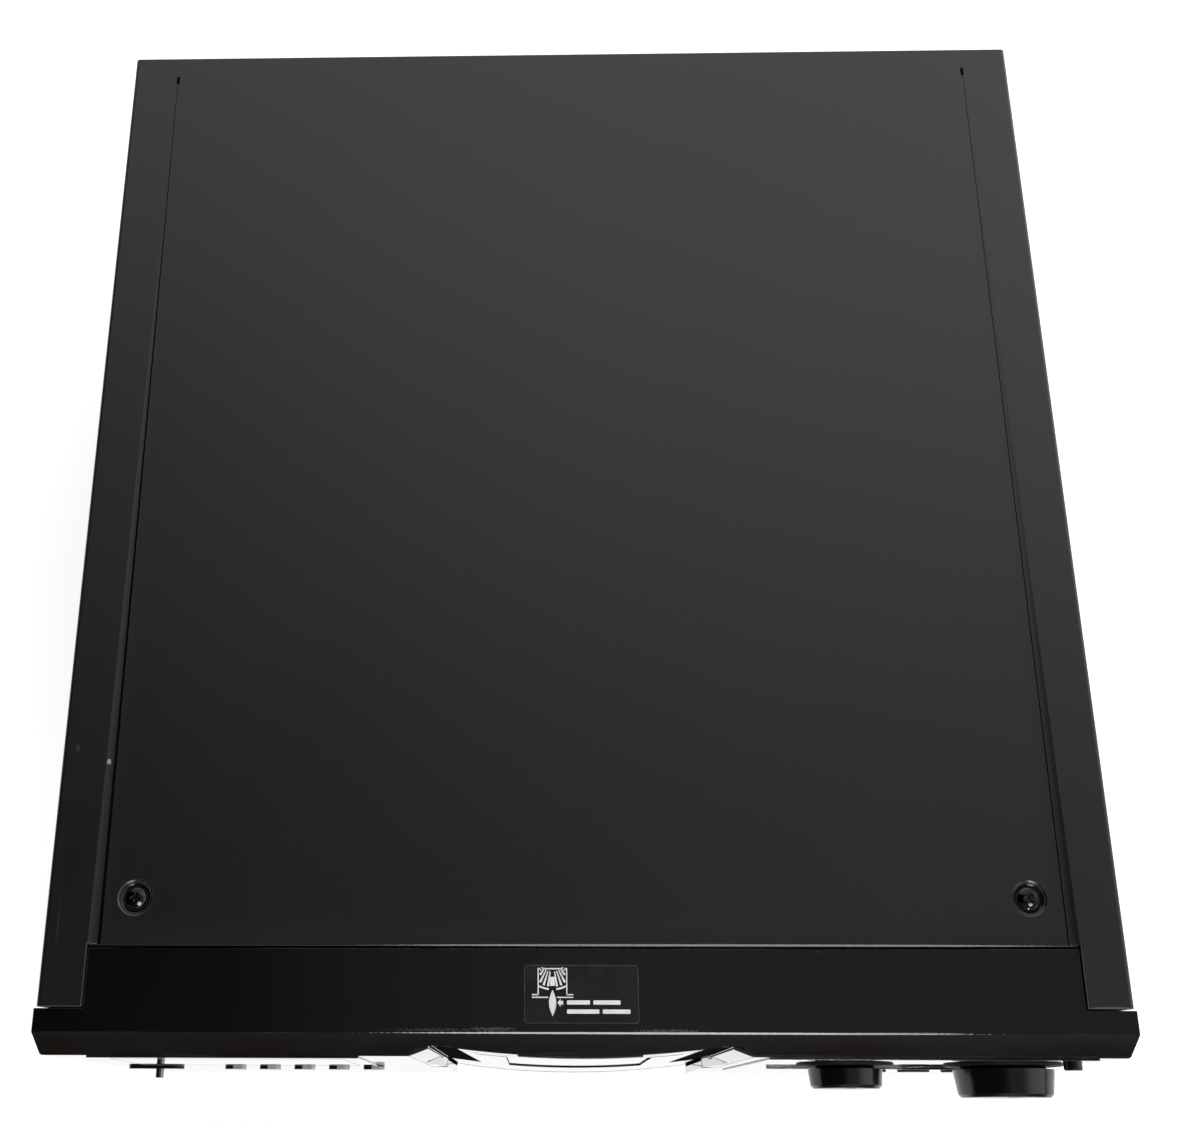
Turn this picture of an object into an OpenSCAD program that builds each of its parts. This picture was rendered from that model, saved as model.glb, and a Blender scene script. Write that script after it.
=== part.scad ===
// Carousel disc changer: a wide hi-fi case with a front door, a vertical-disc carousel
// and a player tower in its middle. Millimetres, +X right, +Y to the rear, +Z up, floor at z = 0.

/* [Case] */
// Width across the front panel
case_w = 430; // [426:1:440]
// Room over the discs, up to the top of the side rails
head_room = 31; // [29:1:42]
// Depth from the front edge of the top to the rear edge of the cover
case_d = 459.5; // [456:0.5:480]
// Height of the feet
foot_h = 10; // [8:0.5:12]
// Diameter of a foot
foot_d = 44; // [36:1:50]
// Steel sheet of the cover
sheet = 1; // [0.8:0.1:1.2]
// Steel of the chassis, the rear panel and the brackets
plate = 1.2; // [1:0.1:1.4]
// Width of a raised side rail of the cover
rail_w = 18; // [15:0.5:22]
// Drop of the centre panel below the rails at its front
panel_drop = 1.7; // [1:0.1:2]

/* [Front panel] */
// Wall of the front moulding
wall = 3; // [2.6:0.1:3.2]
// Lean of the fascia, its foot forward
lean = 1.8; // [1.2:0.1:2]
// Depth of the bezel shelf on top
bezel_d = 33.5; // [32:0.5:42]
// Height of the sloped band under the top edge
band_drop = 8.5; // [7:0.5:10]
// Reach of the band in front of the top edge
band_out = 8.1; // [7:0.1:9]
// Thickness of the clear lenses
lens_t = 0.6; // [0.5:0.1:1.4]

/* [Door] */
// Width of the door at its top
door_top_w = 118; // [114:1:122]
// Width of the door at its foot
door_foot_w = 112; // [108:1:116]
// Bow radius of the door in plan
door_r = 405; // [400:5:480]
// Width of the slanted wings beside the door
wing_w = 7.7; // [7:0.1:8.5]
// Hinge rod radius
hinge_r = 1.6; // [1.4:0.1:1.8]

/* [Buttons and dials] */
// Gap between two mode buttons
button_gap = 6.2; // [4.6:0.1:8]
// Height of a mode button
button_h = 4.4; // [4:0.2:5]
// Diameter of the large dial
dial_d = 40.8; // [36:0.2:42]
// Diameter of the small dial
small_dial_d = 30.6; // [28:0.2:32]
// Reach of the large dial in front of the top edge
dial_reach = 24; // [22:0.5:26]

/* [Carousel] */
// Number of disc slots
slot_count = 300; // [240:1:300]
// Width of a disc slit
slit = 1.4; // [1.3:0.05:1.5]
// Room beside, in front of and behind the carousel tray
tray_side_room = 19; // [18:0.5:22]
tray_front_room = 5.5; // [5:0.5:10]
tray_rear_room = 62; // [60:1:80]
// Bore of the carousel tray, round the player tower
tray_in_r = 80; // [79:0.5:82]
// Disc diameter
disc_d = 120; // [118:0.5:121]

/* [Rear] */
// Reach of the phono jacks behind the cover
jack_reach = 6.5; // [5:0.5:8]
// Radius of a phono jack's outer contact
jack_r = 4.15; // [4:0.05:4.25]

/* [Hidden] */
$fn = 64;

// Case lines
half_w = case_w / 2;
floor_z = foot_h + plate;
disc_lift = 26.8;
case_h = floor_z + disc_lift + disc_d + head_room;
cover_half = half_w - 1;
front_y = dial_reach - (case_d + dial_reach + jack_reach) / 2;
rear_y = front_y + case_d;
rear_face_y = rear_y - sheet;
rear_in_y = rear_face_y - plate;
rail_rise = 1.4;
bezel_z = case_h - rail_rise;
cover_foot_z = foot_h + 3;
rail_in = cover_half - rail_w;
rail_front_y = front_y + 9.5;
lip_y = front_y + bezel_d;
panel_gap = 0.6;
pan_half = cover_half - sheet - 0.3;
flange_h = 30;

// Centre panel: a shallow pocket whose floor meets the rails near the rear edge
pocket_end_y = rear_y - 10;
pocket_tilt = atan(panel_drop / (pocket_end_y - lip_y));
pocket_slope = 1.88;
pocket_half = rail_in - 3.7;
dimple_x = rail_in - 17.3;
dimple_y = lip_y + 18;
dimple_floor_z = case_h - panel_drop - 1.7;
dimple_r = 7.3;
stay_half_d = 10;

// Screws
screw_r = 1.5;
screw_hole = 1.7;
head_r = 4;
head_h = 2;
side_screw_z = cover_foot_z + 17;
side_screw_y = [front_y + 99.5, front_y + 398.9];
upper_screw_z = case_h - 9;
rear_screw_x = [65 - half_w, 0, half_w - 65];

// Fascia plane: its top line, and the local frame on its outer face
band_z = bezel_z - band_drop;
band_y = front_y - band_out;
fascia_y = band_y - 0.4;
fascia_z = band_z - 0.5;
face_len = (fascia_z - floor_z) / cos(lean);
fascia_half = cover_half;
corner_r = 10;
corner_y = fascia_y - face_len * sin(lean) + corner_r;
back_y = rail_front_y - panel_gap;

// Door lines in the face frame: v runs down the face, depth runs inward
door_v_top = -12.6;
door_v_foot = 15 - face_len;
opening_v_foot = 10.3 - face_len;
wing_depth = 2.8;
wing_t = 2;
wing_v_top = -0.3;
wing_v_foot = door_v_foot + 51.5;
wing_taper = 1;
wing_fit = 0.15;
notch_depth = 3.4;
notch_slant = 4.5;
door_gap = 0.8;
door_t = 3;
door_bulge = 0.1;
header_v_foot = door_v_top + 0.7;
sill_lap = 3;
hinge_depth = 6.8;
hinge_v = 19.5 - face_len;
hinge_eye_r = 3.5;
hinge_eye_x = [door_foot_w / 2 - 10, door_foot_w / 2 - 4];
ear_x = door_foot_w / 2 + 7.6;
ear_t = 3.6;
window_half_w = door_foot_w / 2 - 14;
window_v = [door_v_foot + 48.5, door_v_top - 11.4];
button_travel_gap = 0.4;
flange_t = 1.2;

// Gear train of the door
gear_angle = 25;
sector_teeth = 20;
door_pinion_teeth = 10;
door_mesh_angle = 16;
door_mesh = (sector_teeth + door_pinion_teeth) / 2 + 0.15;
sector_x = [-ear_x - 12.4, -ear_x - 8.4];
hinge_y = fascia_y + hinge_depth * cos(lean) + hinge_v * sin(lean);
hinge_z = fascia_z - hinge_depth * sin(lean) + hinge_v * cos(lean);
pinion_y = hinge_y + door_mesh * cos(door_mesh_angle);
pinion_z = hinge_z + door_mesh * sin(door_mesh_angle);
door_motor_x = sector_x[0] - 3.2;
door_motor_r = 8;
door_motor_len = 25;

// Controls on the face: [x, v] centres
left_lens_x = 17 - fascia_half;
right_lens_x = fascia_half - 10;
lens_v = [49.5 - face_len, -6];
lens_edge = door_top_w / 2 + wing_w + 8;
lens_edge_foot = lens_edge - 5.5;
left_edge = lens_edge + 13.3;
left_foot = lens_v[0] + 34;
power_at = [left_lens_x + 7.5, left_foot - 8];
power_size = [25, 8];
mode_x = power_at[0] + 36;
mode_end_x = -left_edge - 2.8;
button_pitch = (mode_end_x - mode_x) / 4;
button_w = button_pitch - button_gap;
mode_v = left_foot - 8;
display_x = [left_lens_x + 9, -left_edge - 9];
display_v = [left_foot + 12, left_foot + 68];
dial_v = -44;
small_dial_at = [lens_edge + 36.7, dial_v];
large_dial_at = [right_lens_x - 27, dial_v];
key_v = lens_v[0] + 34;
play_at = [lens_edge + 74.8, key_v];
play_size = [14.2, 7];
key_step = 19;
pause_at = [play_at[0] - key_step, key_v];
stop_at = [play_at[0] + key_step, key_v];
side_size = [14, 6];
key_flange = 1.5;
round_at = [right_lens_x - 8.6, -13];
round_r = 3.6;
round_proud = 4;
open_half_w = 24.7;
open_v = [-9.6, -2.6];
open_proud = 0.6;
fit = 0.3;
small_proud = 1.6;
power_rib = 5.4;
power_rib_w = 2.4;
dial_base = 2.6;
dial_hub_r = 6;
shaft_r = 3;
run_fit = 0.05;
bush_r = 4.5;
bush_hole = 4.7;
bush_reach = 1.4;
encoder_w = 15;
encoder_face = 5.4;
encoder_t = 7;
ring_t = 0.8;
large_taper = 1.4;
small_taper = 0.7;
large_face_y = fascia_y + large_dial_at[1] * sin(lean);
large_len = (large_face_y - front_y + dial_reach) / cos(lean) - (dial_d / 2 - large_taper) * tan(lean);
small_len = large_len - 3.3;
left_board_depth = 9.5;
right_board_depth = encoder_face + encoder_t;
board_t = 1.6;
switch_w = 6;
switch_gap = 1;
boss_r = 3;
left_board_x = [left_lens_x + 2, -lens_edge - 3.3];
left_board_v = [lens_v[0] + 2, lens_v[1] - 2];
right_board_x = [lens_edge + 9.3, right_lens_x - 1];
right_board_v = [lens_v[0] + 14, lens_v[1] - 2];

// Carousel, its axis behind the middle of the case
tray_r = min(half_w - tray_side_room, (case_d - tray_front_room - tray_rear_room) / 2);
hub_y = front_y + tray_front_room + tray_r;
disc_z = floor_z + disc_lift + disc_d / 2;
disc_ring_r = (tray_in_r + tray_r) / 2;
tray_z = floor_z + 12.8;
land_z = tray_z + 24;
tray_skin = 3;
tray_rim = 4;
trough_side = 38;
trough_web = 4;
cradle_r = disc_d / 2 + 1;
comb_in_h = 18;
comb_out_h = 12;
comb_wall = 2.5;
fin_in_r = tray_in_r + 22;
fin_out_r = tray_r - 21;
ring_module = 1.6;
ring_inset = 4;
ring_teeth = 2 * round((tray_r - ring_inset) / ring_module);
ring_gear_z = tray_z - 5.5;
ring_gear_in_r = tray_r - 12;
track_r = tray_in_r - 0.4;
track_in_r = track_r - 4.1;
track_h = 23;
pad_r = 5;
pad_at_r = ring_gear_in_r + 3;
pad_gap = 0.3;

// Table drive in the rear right corner
drive_teeth = 30;
drive_angle = 45;
drive_reach = (ring_teeth + drive_teeth) / 2 * ring_module + 0.2;
drive_x = drive_reach * cos(drive_angle);
drive_y = hub_y + drive_reach * sin(drive_angle);
gear_face_gap = 0.4;
axle_r = 3;
pulley_r = 16;
pulley_flange_r = 17.5;
pulley_z = tray_z + 1;
pulley_t = 7;
belt_gap = 0.3;
belt_t = 1.2;
belt_w = 3;
motor_x = drive_x + 32;
motor_y = drive_y + 55;
motor_r = 15;
motor_h = 11.8;
motor_pulley_r = 5;
motor_flange_r = 6.5;
motor_shaft_r = 1.5;

// Player tower inside the carousel: x positions from the disc plane at x = 0
tower_r = track_in_r - 3.5;
tower_base_t = 4;
tower_top_z = disc_z + disc_d / 2 + 6;
tower_top_t = 4;
left_wall_x = [-15, -11];
right_wall_x = [16, 20];
tower_front_y = hub_y - tray_in_r + 18;
tower_back_y = hub_y + tray_in_r - 7;
tower_top_back_y = tower_back_y - 5;
right_wall_back_y = tower_back_y - 11;
unit_x = [-9, -7];
unit_y = [tower_front_y + 26, tower_back_y - 3];
unit_z = [disc_z - 38, disc_z + 38];
damper_r = 4;
rod_x = -17;
rod_r = 1.5;
rod_drop = 14;
screw_rise = 22;
rod_block_y = [hub_y + 13, tower_back_y - 7];
rod_block_t = 3;
pickup_y = [hub_y + 18, hub_y + 30];
spindle_r = 10;
spindle_len = 18;
spindle_shaft_r = 1;
clamp_x = 12.5;
clamp_eye_r = 3;
clamp_z = tower_top_z - 6;
clamp_half = 12;
clamp_pin_r = 1.5;
puck_r = 15;
puck_x = [5, 8];
bar_half = 4;
bar_z = [tower_top_z + tower_top_t + 0.3, tower_top_z + tower_top_t + 6];
bar_y = [hub_y - 10, hub_y + tray_r + 10];
rack_module = 1;
load_teeth = 16;
load_x = bar_half + rack_module + load_teeth / 2 + 0.12;
load_y = hub_y + 43;
load_motor_r = 10;
load_motor_h = 22;
guide_y = [hub_y + 22, tower_back_y - 15];
guide_t = 9;

// Rear fittings
board_y = [hub_y + tray_r + 8, rear_in_y - 6];
board_x = [-120, 40];
board_z = floor_z + 9;
jack_x = [-60, -40];
jack_z = floor_z + 49;
jack_base_r = jack_r + 1;
jack_seat_y = rear_face_y + 0.4;
optical_x = -14;
control_x = [12, 28];
inlet_x = half_w - 65;
inlet_z = floor_z + 38;
inlet_size = [27, 20];
transformer_size = [58, 62];
transformer_x = [12.7 - pan_half, transformer_size[0] + 12.7 - pan_half];
transformer_y = [rear_in_y - transformer_size[1] - 25.8, rear_in_y - 25.8];
foot_x = half_w - 50;
foot_at = [for (y = [front_y + 39.5, rear_y - 50], x = [-foot_x, foot_x]) [x, y]];

black = "#1b1b1c";
charcoal = "#333335";
gloss = "#0e0e0f";
steel = "#b5b7b8";
smoke = "#26282b";
ivory = "#dcd9cf";
green = "#2f5a3c";
brass = "#c2a050";

// A box given by its limits on each axis
module box(x, y, z) {
    translate([x[0], y[0], z[0]])
        cube([x[1] - x[0], y[1] - y[0], z[1] - z[0]]);
}

// A round bar along each axis
module bar_along_x(r, x, y, z) {
    translate([x[0], y, z])
        rotate([0, 90, 0])
            cylinder(r = r, h = x[1] - x[0]);
}

module bar_along_y(r, x, y, z) {
    translate([x, y[1], z])
        rotate([90, 0, 0])
            cylinder(r = r, h = y[1] - y[0]);
}

module bar_along_z(r, x, y, z) {
    translate([x, y, z[0]])
        cylinder(r = r, h = z[1] - z[0]);
}

// An outline drawn in Y and Z, extruded along X
module along_x(x) {
    translate([x[0], 0, 0])
        rotate([90, 0, 90])
            linear_extrude(x[1] - x[0])
                children();
}

// An outline drawn in X and Z, extruded along Y
module along_y(y) {
    translate([0, y[1], 0])
        rotate([90, 0, 0])
            linear_extrude(y[1] - y[0])
                children();
}

// The frame of the leaning face: x across, y inward, z up the face
module on_face() {
    translate([0, fascia_y, fascia_z])
        rotate([-lean, 0, 0])
            children();
}

// A shape with round ends, w wide and h high, centred at c
module pill(c, w, h) {
    long = max(w, h);
    r = min(w, h) / 2;
    run = long / 2 - r;
    step = w > h ? [run, 0] : [0, run];
    translate(c) {
        translate(step)
            circle(r);
        translate(-step)
            circle(r);
        square(w > h ? [2 * run, h] : [w, 2 * run], center = true);
    }
}

// A turned shape standing out of the face, its outline in radius and reach
module turned(c) {
    translate([c[0], 0, c[1]])
        rotate([90, 0, 0])
            rotate_extrude()
                children();
}

function polar(r, a) = [r * cos(a), r * sin(a)];
function involute(r, base) = sqrt(max(0, (r / base) ^ 2 - 1)) * 180 / PI - acos(min(1, base / r));

// Outline of a spur gear: involute flanks from the base circle, a radial run below it
function gear_points(teeth, mod, slack, steps) =
    let(pitch = teeth * mod / 2, base = pitch * cos(gear_angle), tip = pitch + 0.85 * mod)
    let(root = pitch - 1.15 * mod, start = max(base, root))
    let(half = 90 / teeth - slack / (4 * pitch) * 180 / PI + involute(pitch, base))
    [for (i = [0:teeth - 1])
        let(c = 360 * i / teeth)
        each concat(
            root < base ? [polar(root, c - half + involute(start, base))] : [],
            [for (s = [0:steps])
                let(r = start + (tip - start) * s / steps)
                polar(r, c - half + involute(r, base))],
            [for (s = [steps:-1:0])
                let(r = start + (tip - start) * s / steps)
                polar(r, c + half - involute(r, base))],
            root < base ? [polar(root, c + half - involute(start, base))] : [])];

// Half angle of a comb fin at radius r, leaving the slit between neighbours
function fin_half(r) = 180 / slot_count - slit / (2 * r) * 180 / PI;

// Outline of a comb: fins from a wall radius to a tip radius, one beside each slit
function comb_points(wall_r, tip_r) =
    [for (i = [0:slot_count - 1])
        let(c = 360 * (i + 0.5) / slot_count)
        each [polar(wall_r, c - fin_half(wall_r)), polar(tip_r, c - fin_half(tip_r)),
            polar(tip_r, c + fin_half(tip_r)), polar(wall_r, c + fin_half(wall_r))]];

// A pan-head screw along +Z with a cross recess, its seat at z = 0
module screw(length) {
    difference() {
        union() {
            cylinder(r = head_r, h = head_h * 0.6);
            translate([0, 0, head_h * 0.6])
                cylinder(r1 = head_r, r2 = head_r * 0.6, h = head_h * 0.4);
            translate([0, 0, -length])
                cylinder(r = screw_r, h = length + 0.1);
        }
        for (a = [0, 90])
            rotate([0, 0, a])
                translate([-head_r * 0.5, -0.45, head_h * 0.4])
                    cube([head_r, 0.9, head_h]);
    }
}

// Cross-section of the cover sheet, grown inward by inset
module cover_outline(inset) {
    half = cover_half - inset;
    bend = 2 - inset;
    translate([-half, cover_foot_z - inset])
        square([2 * half, case_h - 2 - cover_foot_z + inset]);
    translate([-half + bend, cover_foot_z - inset])
        square([2 * (half - bend), case_h - inset - cover_foot_z + inset]);
    for (s = [-1, 1])
        translate([s * (half - bend), case_h - 2])
            circle(bend);
}

// The pocket of the centre panel, grown outward by the sheet for its underside
module pocket(grow) {
    floor_half = pocket_half + grow * 0.25;
    high = 6;
    translate([0, pocket_end_y, case_h])
        rotate([pocket_tilt, 0, 0])
            translate([0, 30, 0])
                rotate([90, 0, 0])
                    linear_extrude(case_d + 30)
                        polygon([[-floor_half, -grow], [floor_half, -grow],
                            [floor_half + high * pocket_slope, high], [-floor_half - high * pocket_slope, high]]);
}

module top_cover() {
    color(charcoal) {
        difference() {
            union() {
                along_y([rail_front_y, rear_y])
                    difference() {
                        cover_outline(0);
                        cover_outline(sheet);
                    }
                intersection() {
                    pocket(sheet);
                    box([-cover_half + 2, cover_half - 2], [lip_y, rear_y], [case_h - 8, case_h]);
                }
                box([-cover_half + 2, cover_half - 2], [rear_face_y, rear_y], [case_h - 16, case_h - 0.5]);
                for (s = [-1, 1])
                    translate([s * dimple_x, dimple_y, dimple_floor_z - sheet])
                        cylinder(r1 = head_r + 2, r2 = dimple_r + 1.2, h = 2);
            }
            intersection() {
                pocket(0);
                box([-half_w, half_w], [lip_y - 1, rear_y - 4], [case_h - 8, case_h + 8]);
            }
            box([-rail_in, rail_in], [rail_front_y - 1, lip_y], [case_h - 9, case_h + 1]);
            for (s = [-1, 1])
                translate([s * dimple_x, dimple_y, dimple_floor_z]) {
                    cylinder(r1 = head_r + 0.8, r2 = dimple_r + 0.4, h = 2.2);
                    translate([0, 0, -3])
                        cylinder(r = screw_hole, h = 4);
                }
            for (y = side_screw_y)
                bar_along_x(screw_hole, [-half_w, half_w], y, side_screw_z);
            bar_along_x(screw_hole, [cover_half - 2, half_w], side_screw_y[1], upper_screw_z);
            for (x = rear_screw_x)
                bar_along_y(screw_hole, x, [rear_face_y - 1, rear_y + 1], case_h - 10);
        }
        // Bent lip along the front of the centre panel, and one on the front of each rail
        lip_z = case_h - panel_drop - sheet;
        lip_half = rail_in - 0.4;
        bar_along_x(sheet, [-lip_half, lip_half], lip_y, lip_z);
        box([-lip_half, lip_half], [lip_y - sheet, lip_y], [lip_z - 3.4, lip_z]);
        for (s = [-1, 1])
            box([s * (rail_in + rail_w / 2) - rail_w / 2 + 2, s * (rail_in + rail_w / 2) + rail_w / 2 - 2],
                [rail_front_y, rail_front_y + sheet], [case_h - 4.5, case_h - 0.5]);
    }
}

module chassis() {
    color(steel)
        difference() {
            union() {
                box([-pan_half, pan_half], [band_y + 2.6, rear_in_y], [foot_h, floor_z]);
                for (s = [-1, 1])
                    box([s > 0 ? pan_half - plate : -pan_half, s > 0 ? pan_half : plate - pan_half],
                        [back_y + 1, rear_in_y], [foot_h, foot_h + flange_h]);
                for (x = [board_x[0] + 6, board_x[1] - 6], y = [board_y[0] + 6, board_y[1] - 6])
                    bar_along_z(boss_r, x, y, [foot_h, board_z]);
            }
            for (y = side_screw_y)
                bar_along_x(screw_hole, [-half_w, half_w], y, side_screw_z);
            for (p = foot_at)
                translate([p[0], p[1], foot_h - 1])
                    cylinder(r = screw_hole, h = plate + 2);
            for (i = [-3:3])
                box([i * 22 - 3, i * 22 + 3], [hub_y - 160, hub_y - 100], [foot_h - 1, floor_z + 1]);
        }
}

module rear_panel() {
    color(steel)
        difference() {
            box([-pan_half, pan_half], [rear_in_y, rear_face_y], [foot_h, case_h - sheet - 0.4]);
            for (x = jack_x)
                bar_along_y(jack_base_r + 0.2, x, [rear_in_y - 1, rear_face_y + 1], jack_z);
            for (x = control_x)
                bar_along_y(4.2, x, [rear_in_y - 1, rear_face_y + 1], jack_z);
            box([optical_x - 5.2, optical_x + 5.2], [rear_in_y - 1, rear_face_y + 1], [jack_z - 5.2, jack_z + 5.2]);
            box([inlet_x - inlet_size[0] / 2 - 0.2, inlet_x + inlet_size[0] / 2 + 0.2],
                [rear_in_y - 1, rear_face_y + 1],
                [inlet_z - inlet_size[1] / 2 - 0.2, inlet_z + inlet_size[1] / 2 + 0.2]);
            for (x = rear_screw_x)
                bar_along_y(screw_hole, x, [rear_in_y - 1, rear_face_y + 1], case_h - 10);
        }
}

// Outline of the front moulding in plan, its front corners rounded
module fascia_plan(inset) {
    half = fascia_half - inset;
    deep = back_y - corner_y + 1;
    translate([-half, corner_y])
        square([2 * half, deep]);
    translate([corner_r - fascia_half, corner_y - corner_r + inset])
        square([2 * (fascia_half - corner_r), deep + corner_r - inset]);
    for (s = [-1, 1])
        translate([s * (fascia_half - corner_r), corner_y])
            circle(corner_r - inset);
}

// The space behind the leaning face, moved inward by inset
module fascia_block(inset, z) {
    intersection() {
        translate([0, 0, z[0]])
            linear_extrude(z[1] - z[0])
                fascia_plan(inset);
        on_face()
            box([-half_w, half_w], [inset, 80], [-face_len - 20, 40]);
        box([-half_w, half_w], [front_y - 40, inset > 0 ? back_y + 2 : back_y], z);
    }
}

// Door outline on the face, grown by gap
module door_outline(gap) {
    polygon([[-door_foot_w / 2 - gap, door_v_foot - gap], [door_foot_w / 2 + gap, door_v_foot - gap],
        [door_top_w / 2 + gap, door_v_top + gap], [-door_top_w / 2 - gap, door_v_top + gap]]);
}

// Half width of the door at height v on the face
function door_half(v) =
    door_foot_w / 2 + (door_top_w - door_foot_w) / 2 * (v - door_v_foot) / (door_v_top - door_v_foot);

// The bowed shell of the door and its header, between two depths
module bowed(depth, v) {
    translate([0, door_r - door_bulge, v[0]])
        difference() {
            cylinder(r = door_r - depth[0], h = v[1] - v[0], $fn = 360);
            translate([0, 0, -1])
                cylinder(r = door_r - depth[1], h = v[1] - v[0] + 2, $fn = 360);
        }
}

// Holes for the buttons and the dial bushes, all through the face
module control_holes() {
    along_y([-4, wall + 2]) {
        pill(power_at, power_size[0] + 2 * fit, power_size[1] + 2 * fit);
        for (i = [0:4])
            pill([mode_x + i * button_pitch, mode_v], button_w + 2 * fit, button_h + 2 * fit);
        pill(play_at, play_size[0] + 2 * fit, play_size[1] + 2 * fit);
        for (c = [pause_at, stop_at])
            pill(c, side_size[0] + 2 * fit, side_size[1] + 2 * fit);
        for (c = [small_dial_at, large_dial_at])
            translate(c)
                circle(bush_hole);
        translate(round_at)
            circle(round_r + fit);
    }
}

module bezel_section(back) {
    polygon([[back, bezel_z], [front_y, bezel_z], [band_y, band_z], [band_y + wall * 1.7, band_z],
        [front_y + 2.4, bezel_z - wall], [back, bezel_z - wall]]);
}

module front_panel() {
    wing_top = door_half(0) + door_gap + wing_w;
    wing_foot = door_half(wing_v_foot) + door_gap + wing_w - wing_taper;
    sill_top = door_half(wing_v_foot) + door_gap;
    sill_foot = door_half(opening_v_foot) + door_gap;
    left_bosses = [for (c = [[0, 1], [0, 0], [1, 0], [0.38, 0]])
        [left_board_x[0] + 3 + c[0] * (left_board_x[1] - left_board_x[0] - 7), left_board_v[c[1]] + (c[1] > 0 ? -3 : 3)]];
    right_bosses = [for (c = [[0, 1], [0, 0], [0.56, 0], [0.5, 1]])
        [right_board_x[0] + 4 + c[0] * (right_board_x[1] - right_board_x[0] - 8), right_board_v[c[1]] + (c[1] > 0 ? -4 : 4)]];
    color(gloss)
        difference() {
            union() {
                difference() {
                    union() {
                        difference() {
                            fascia_block(0, [floor_z, band_z + 0.3]);
                            fascia_block(wall, [floor_z + wall, band_z + 10]);
                        }
                        along_x([-half_w, half_w])
                            bezel_section(back_y);
                        along_x([-rail_in + 0.4, rail_in - 0.4])
                            bezel_section(lip_y - sheet - panel_gap);
                    }
                    // Door mouth, and the notch of the band over the wings and the bowed door
                    on_face()
                        along_y([-10, wall + 4])
                            polygon([[-sill_foot, -face_len - 5], [sill_foot, -face_len - 5],
                                [sill_top, wing_v_foot], [wing_foot, wing_v_foot], [wing_top, 0],
                                [-wing_top, 0], [-wing_foot, wing_v_foot], [-sill_top, wing_v_foot]]);
                    difference() {
                        translate([0, 0, band_z - 1])
                            linear_extrude(20)
                                polygon([[-wing_top, band_y - 9], [wing_top, band_y - 9], [wing_top, band_y],
                                    [wing_top - notch_slant, band_y + notch_depth],
                                    [notch_slant - wing_top, band_y + notch_depth], [-wing_top, band_y]]);
                        bar_along_z(door_r, 0, band_y + door_r, [band_z - 2, band_z + 20]);
                    }
                    // Chamfered ends of the band
                    for (s = [-1, 1])
                        translate([0, 0, band_z - 1])
                            linear_extrude(20)
                                polygon([[s * half_w, front_y], [s * (half_w - 1.6), band_y - 1],
                                    [s * (half_w + 5), band_y - 1], [s * (half_w + 5), front_y]]);
                }
                // Bowed header over the door, up into the band
                on_face()
                    intersection() {
                        bowed([0, wall], [header_v_foot, 1.5]);
                        box([-door_top_w / 2 - 0.4, door_top_w / 2 + 0.4], [-5, 30], [-40, 10]);
                    }
                // Bowed sill under the door, its foot reaching back to the floor of the moulding
                intersection() {
                    on_face() {
                        bowed([0, wall + 1.5], [-face_len - 2, opening_v_foot]);
                        bowed([0, 14], [-face_len - 2, wall - face_len]);
                    }
                    box([-sill_foot - sill_lap, sill_foot + sill_lap], [fascia_y - 20, back_y],
                        [floor_z, fascia_z]);
                }
                on_face() {
                    for (s = [-1, 1])
                        difference() {
                            box([s > 0 ? ear_x : -ear_x - ear_t, s > 0 ? ear_x + ear_t : -ear_x],
                                [wall - 0.5, hinge_depth + hinge_eye_r], [hinge_v - 5, hinge_v + 5]);
                            bar_along_x(hinge_r + run_fit, [-90, 90], hinge_depth, hinge_v);
                        }
                    for (c = left_bosses)
                        bar_along_y(boss_r, c[0], [wall - 0.5, left_board_depth], c[1]);
                    for (c = right_bosses)
                        bar_along_y(boss_r, c[0], [wall - 0.5, right_board_depth], c[1]);
                }
            }
            on_face() {
                control_holes();
                box(display_x, [-4, wall + 2], display_v);
                box([-open_half_w - fit, open_half_w + fit], [-5, 12], [open_v[0] - fit, open_v[1] + fit]);
            }
        }
}

module feet() {
    color(black)
        for (p = foot_at)
            translate([p[0], p[1], 0])
                difference() {
                    union() {
                        translate([0, 0, 1.6])
                            cylinder(r1 = foot_d / 2 - 1.5, r2 = foot_d / 2, h = 2);
                        translate([0, 0, 3.6])
                            cylinder(r = foot_d / 2, h = foot_h - 3.6);
                    }
                    translate([0, 0, 4])
                        cylinder(r = screw_hole, h = foot_h);
                }
}

module foot_pads() {
    color("#3c3b3a")
        for (p = foot_at)
            bar_along_z(foot_d / 2 - 3, p[0], p[1], [0, 1.6]);
}

// Steel cross stay under the two top screws, with a leg down to each chassis flange
module front_stay() {
    top = dimple_floor_z - sheet;
    leg_out = pan_half - plate;
    color(steel)
        difference() {
            union() {
                box([-leg_out, leg_out], [dimple_y - stay_half_d, dimple_y + stay_half_d], [top - plate, top]);
                for (s = [-1, 1])
                    box([s > 0 ? leg_out - plate : -leg_out, s > 0 ? leg_out : plate - leg_out],
                        [dimple_y - stay_half_d, dimple_y + stay_half_d], [floor_z, top]);
            }
            for (s = [-1, 1])
                translate([s * dimple_x, dimple_y, top - 3])
                    cylinder(r = screw_hole, h = 5);
        }
}

module cover_screws() {
    color("#2a2a2c") {
        for (s = [-1, 1])
            translate([s * dimple_x, dimple_y, dimple_floor_z])
                screw(6);
        for (s = [-1, 1], y = side_screw_y)
            translate([s * cover_half, y, side_screw_z])
                rotate([0, s * 90, 0])
                    screw(4);
        translate([cover_half, side_screw_y[1], upper_screw_z])
            rotate([0, 90, 0])
                screw(4);
        for (x = rear_screw_x)
            translate([x, rear_y, case_h - 10])
                rotate([-90, 0, 0])
                    screw(5);
    }
}

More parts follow.
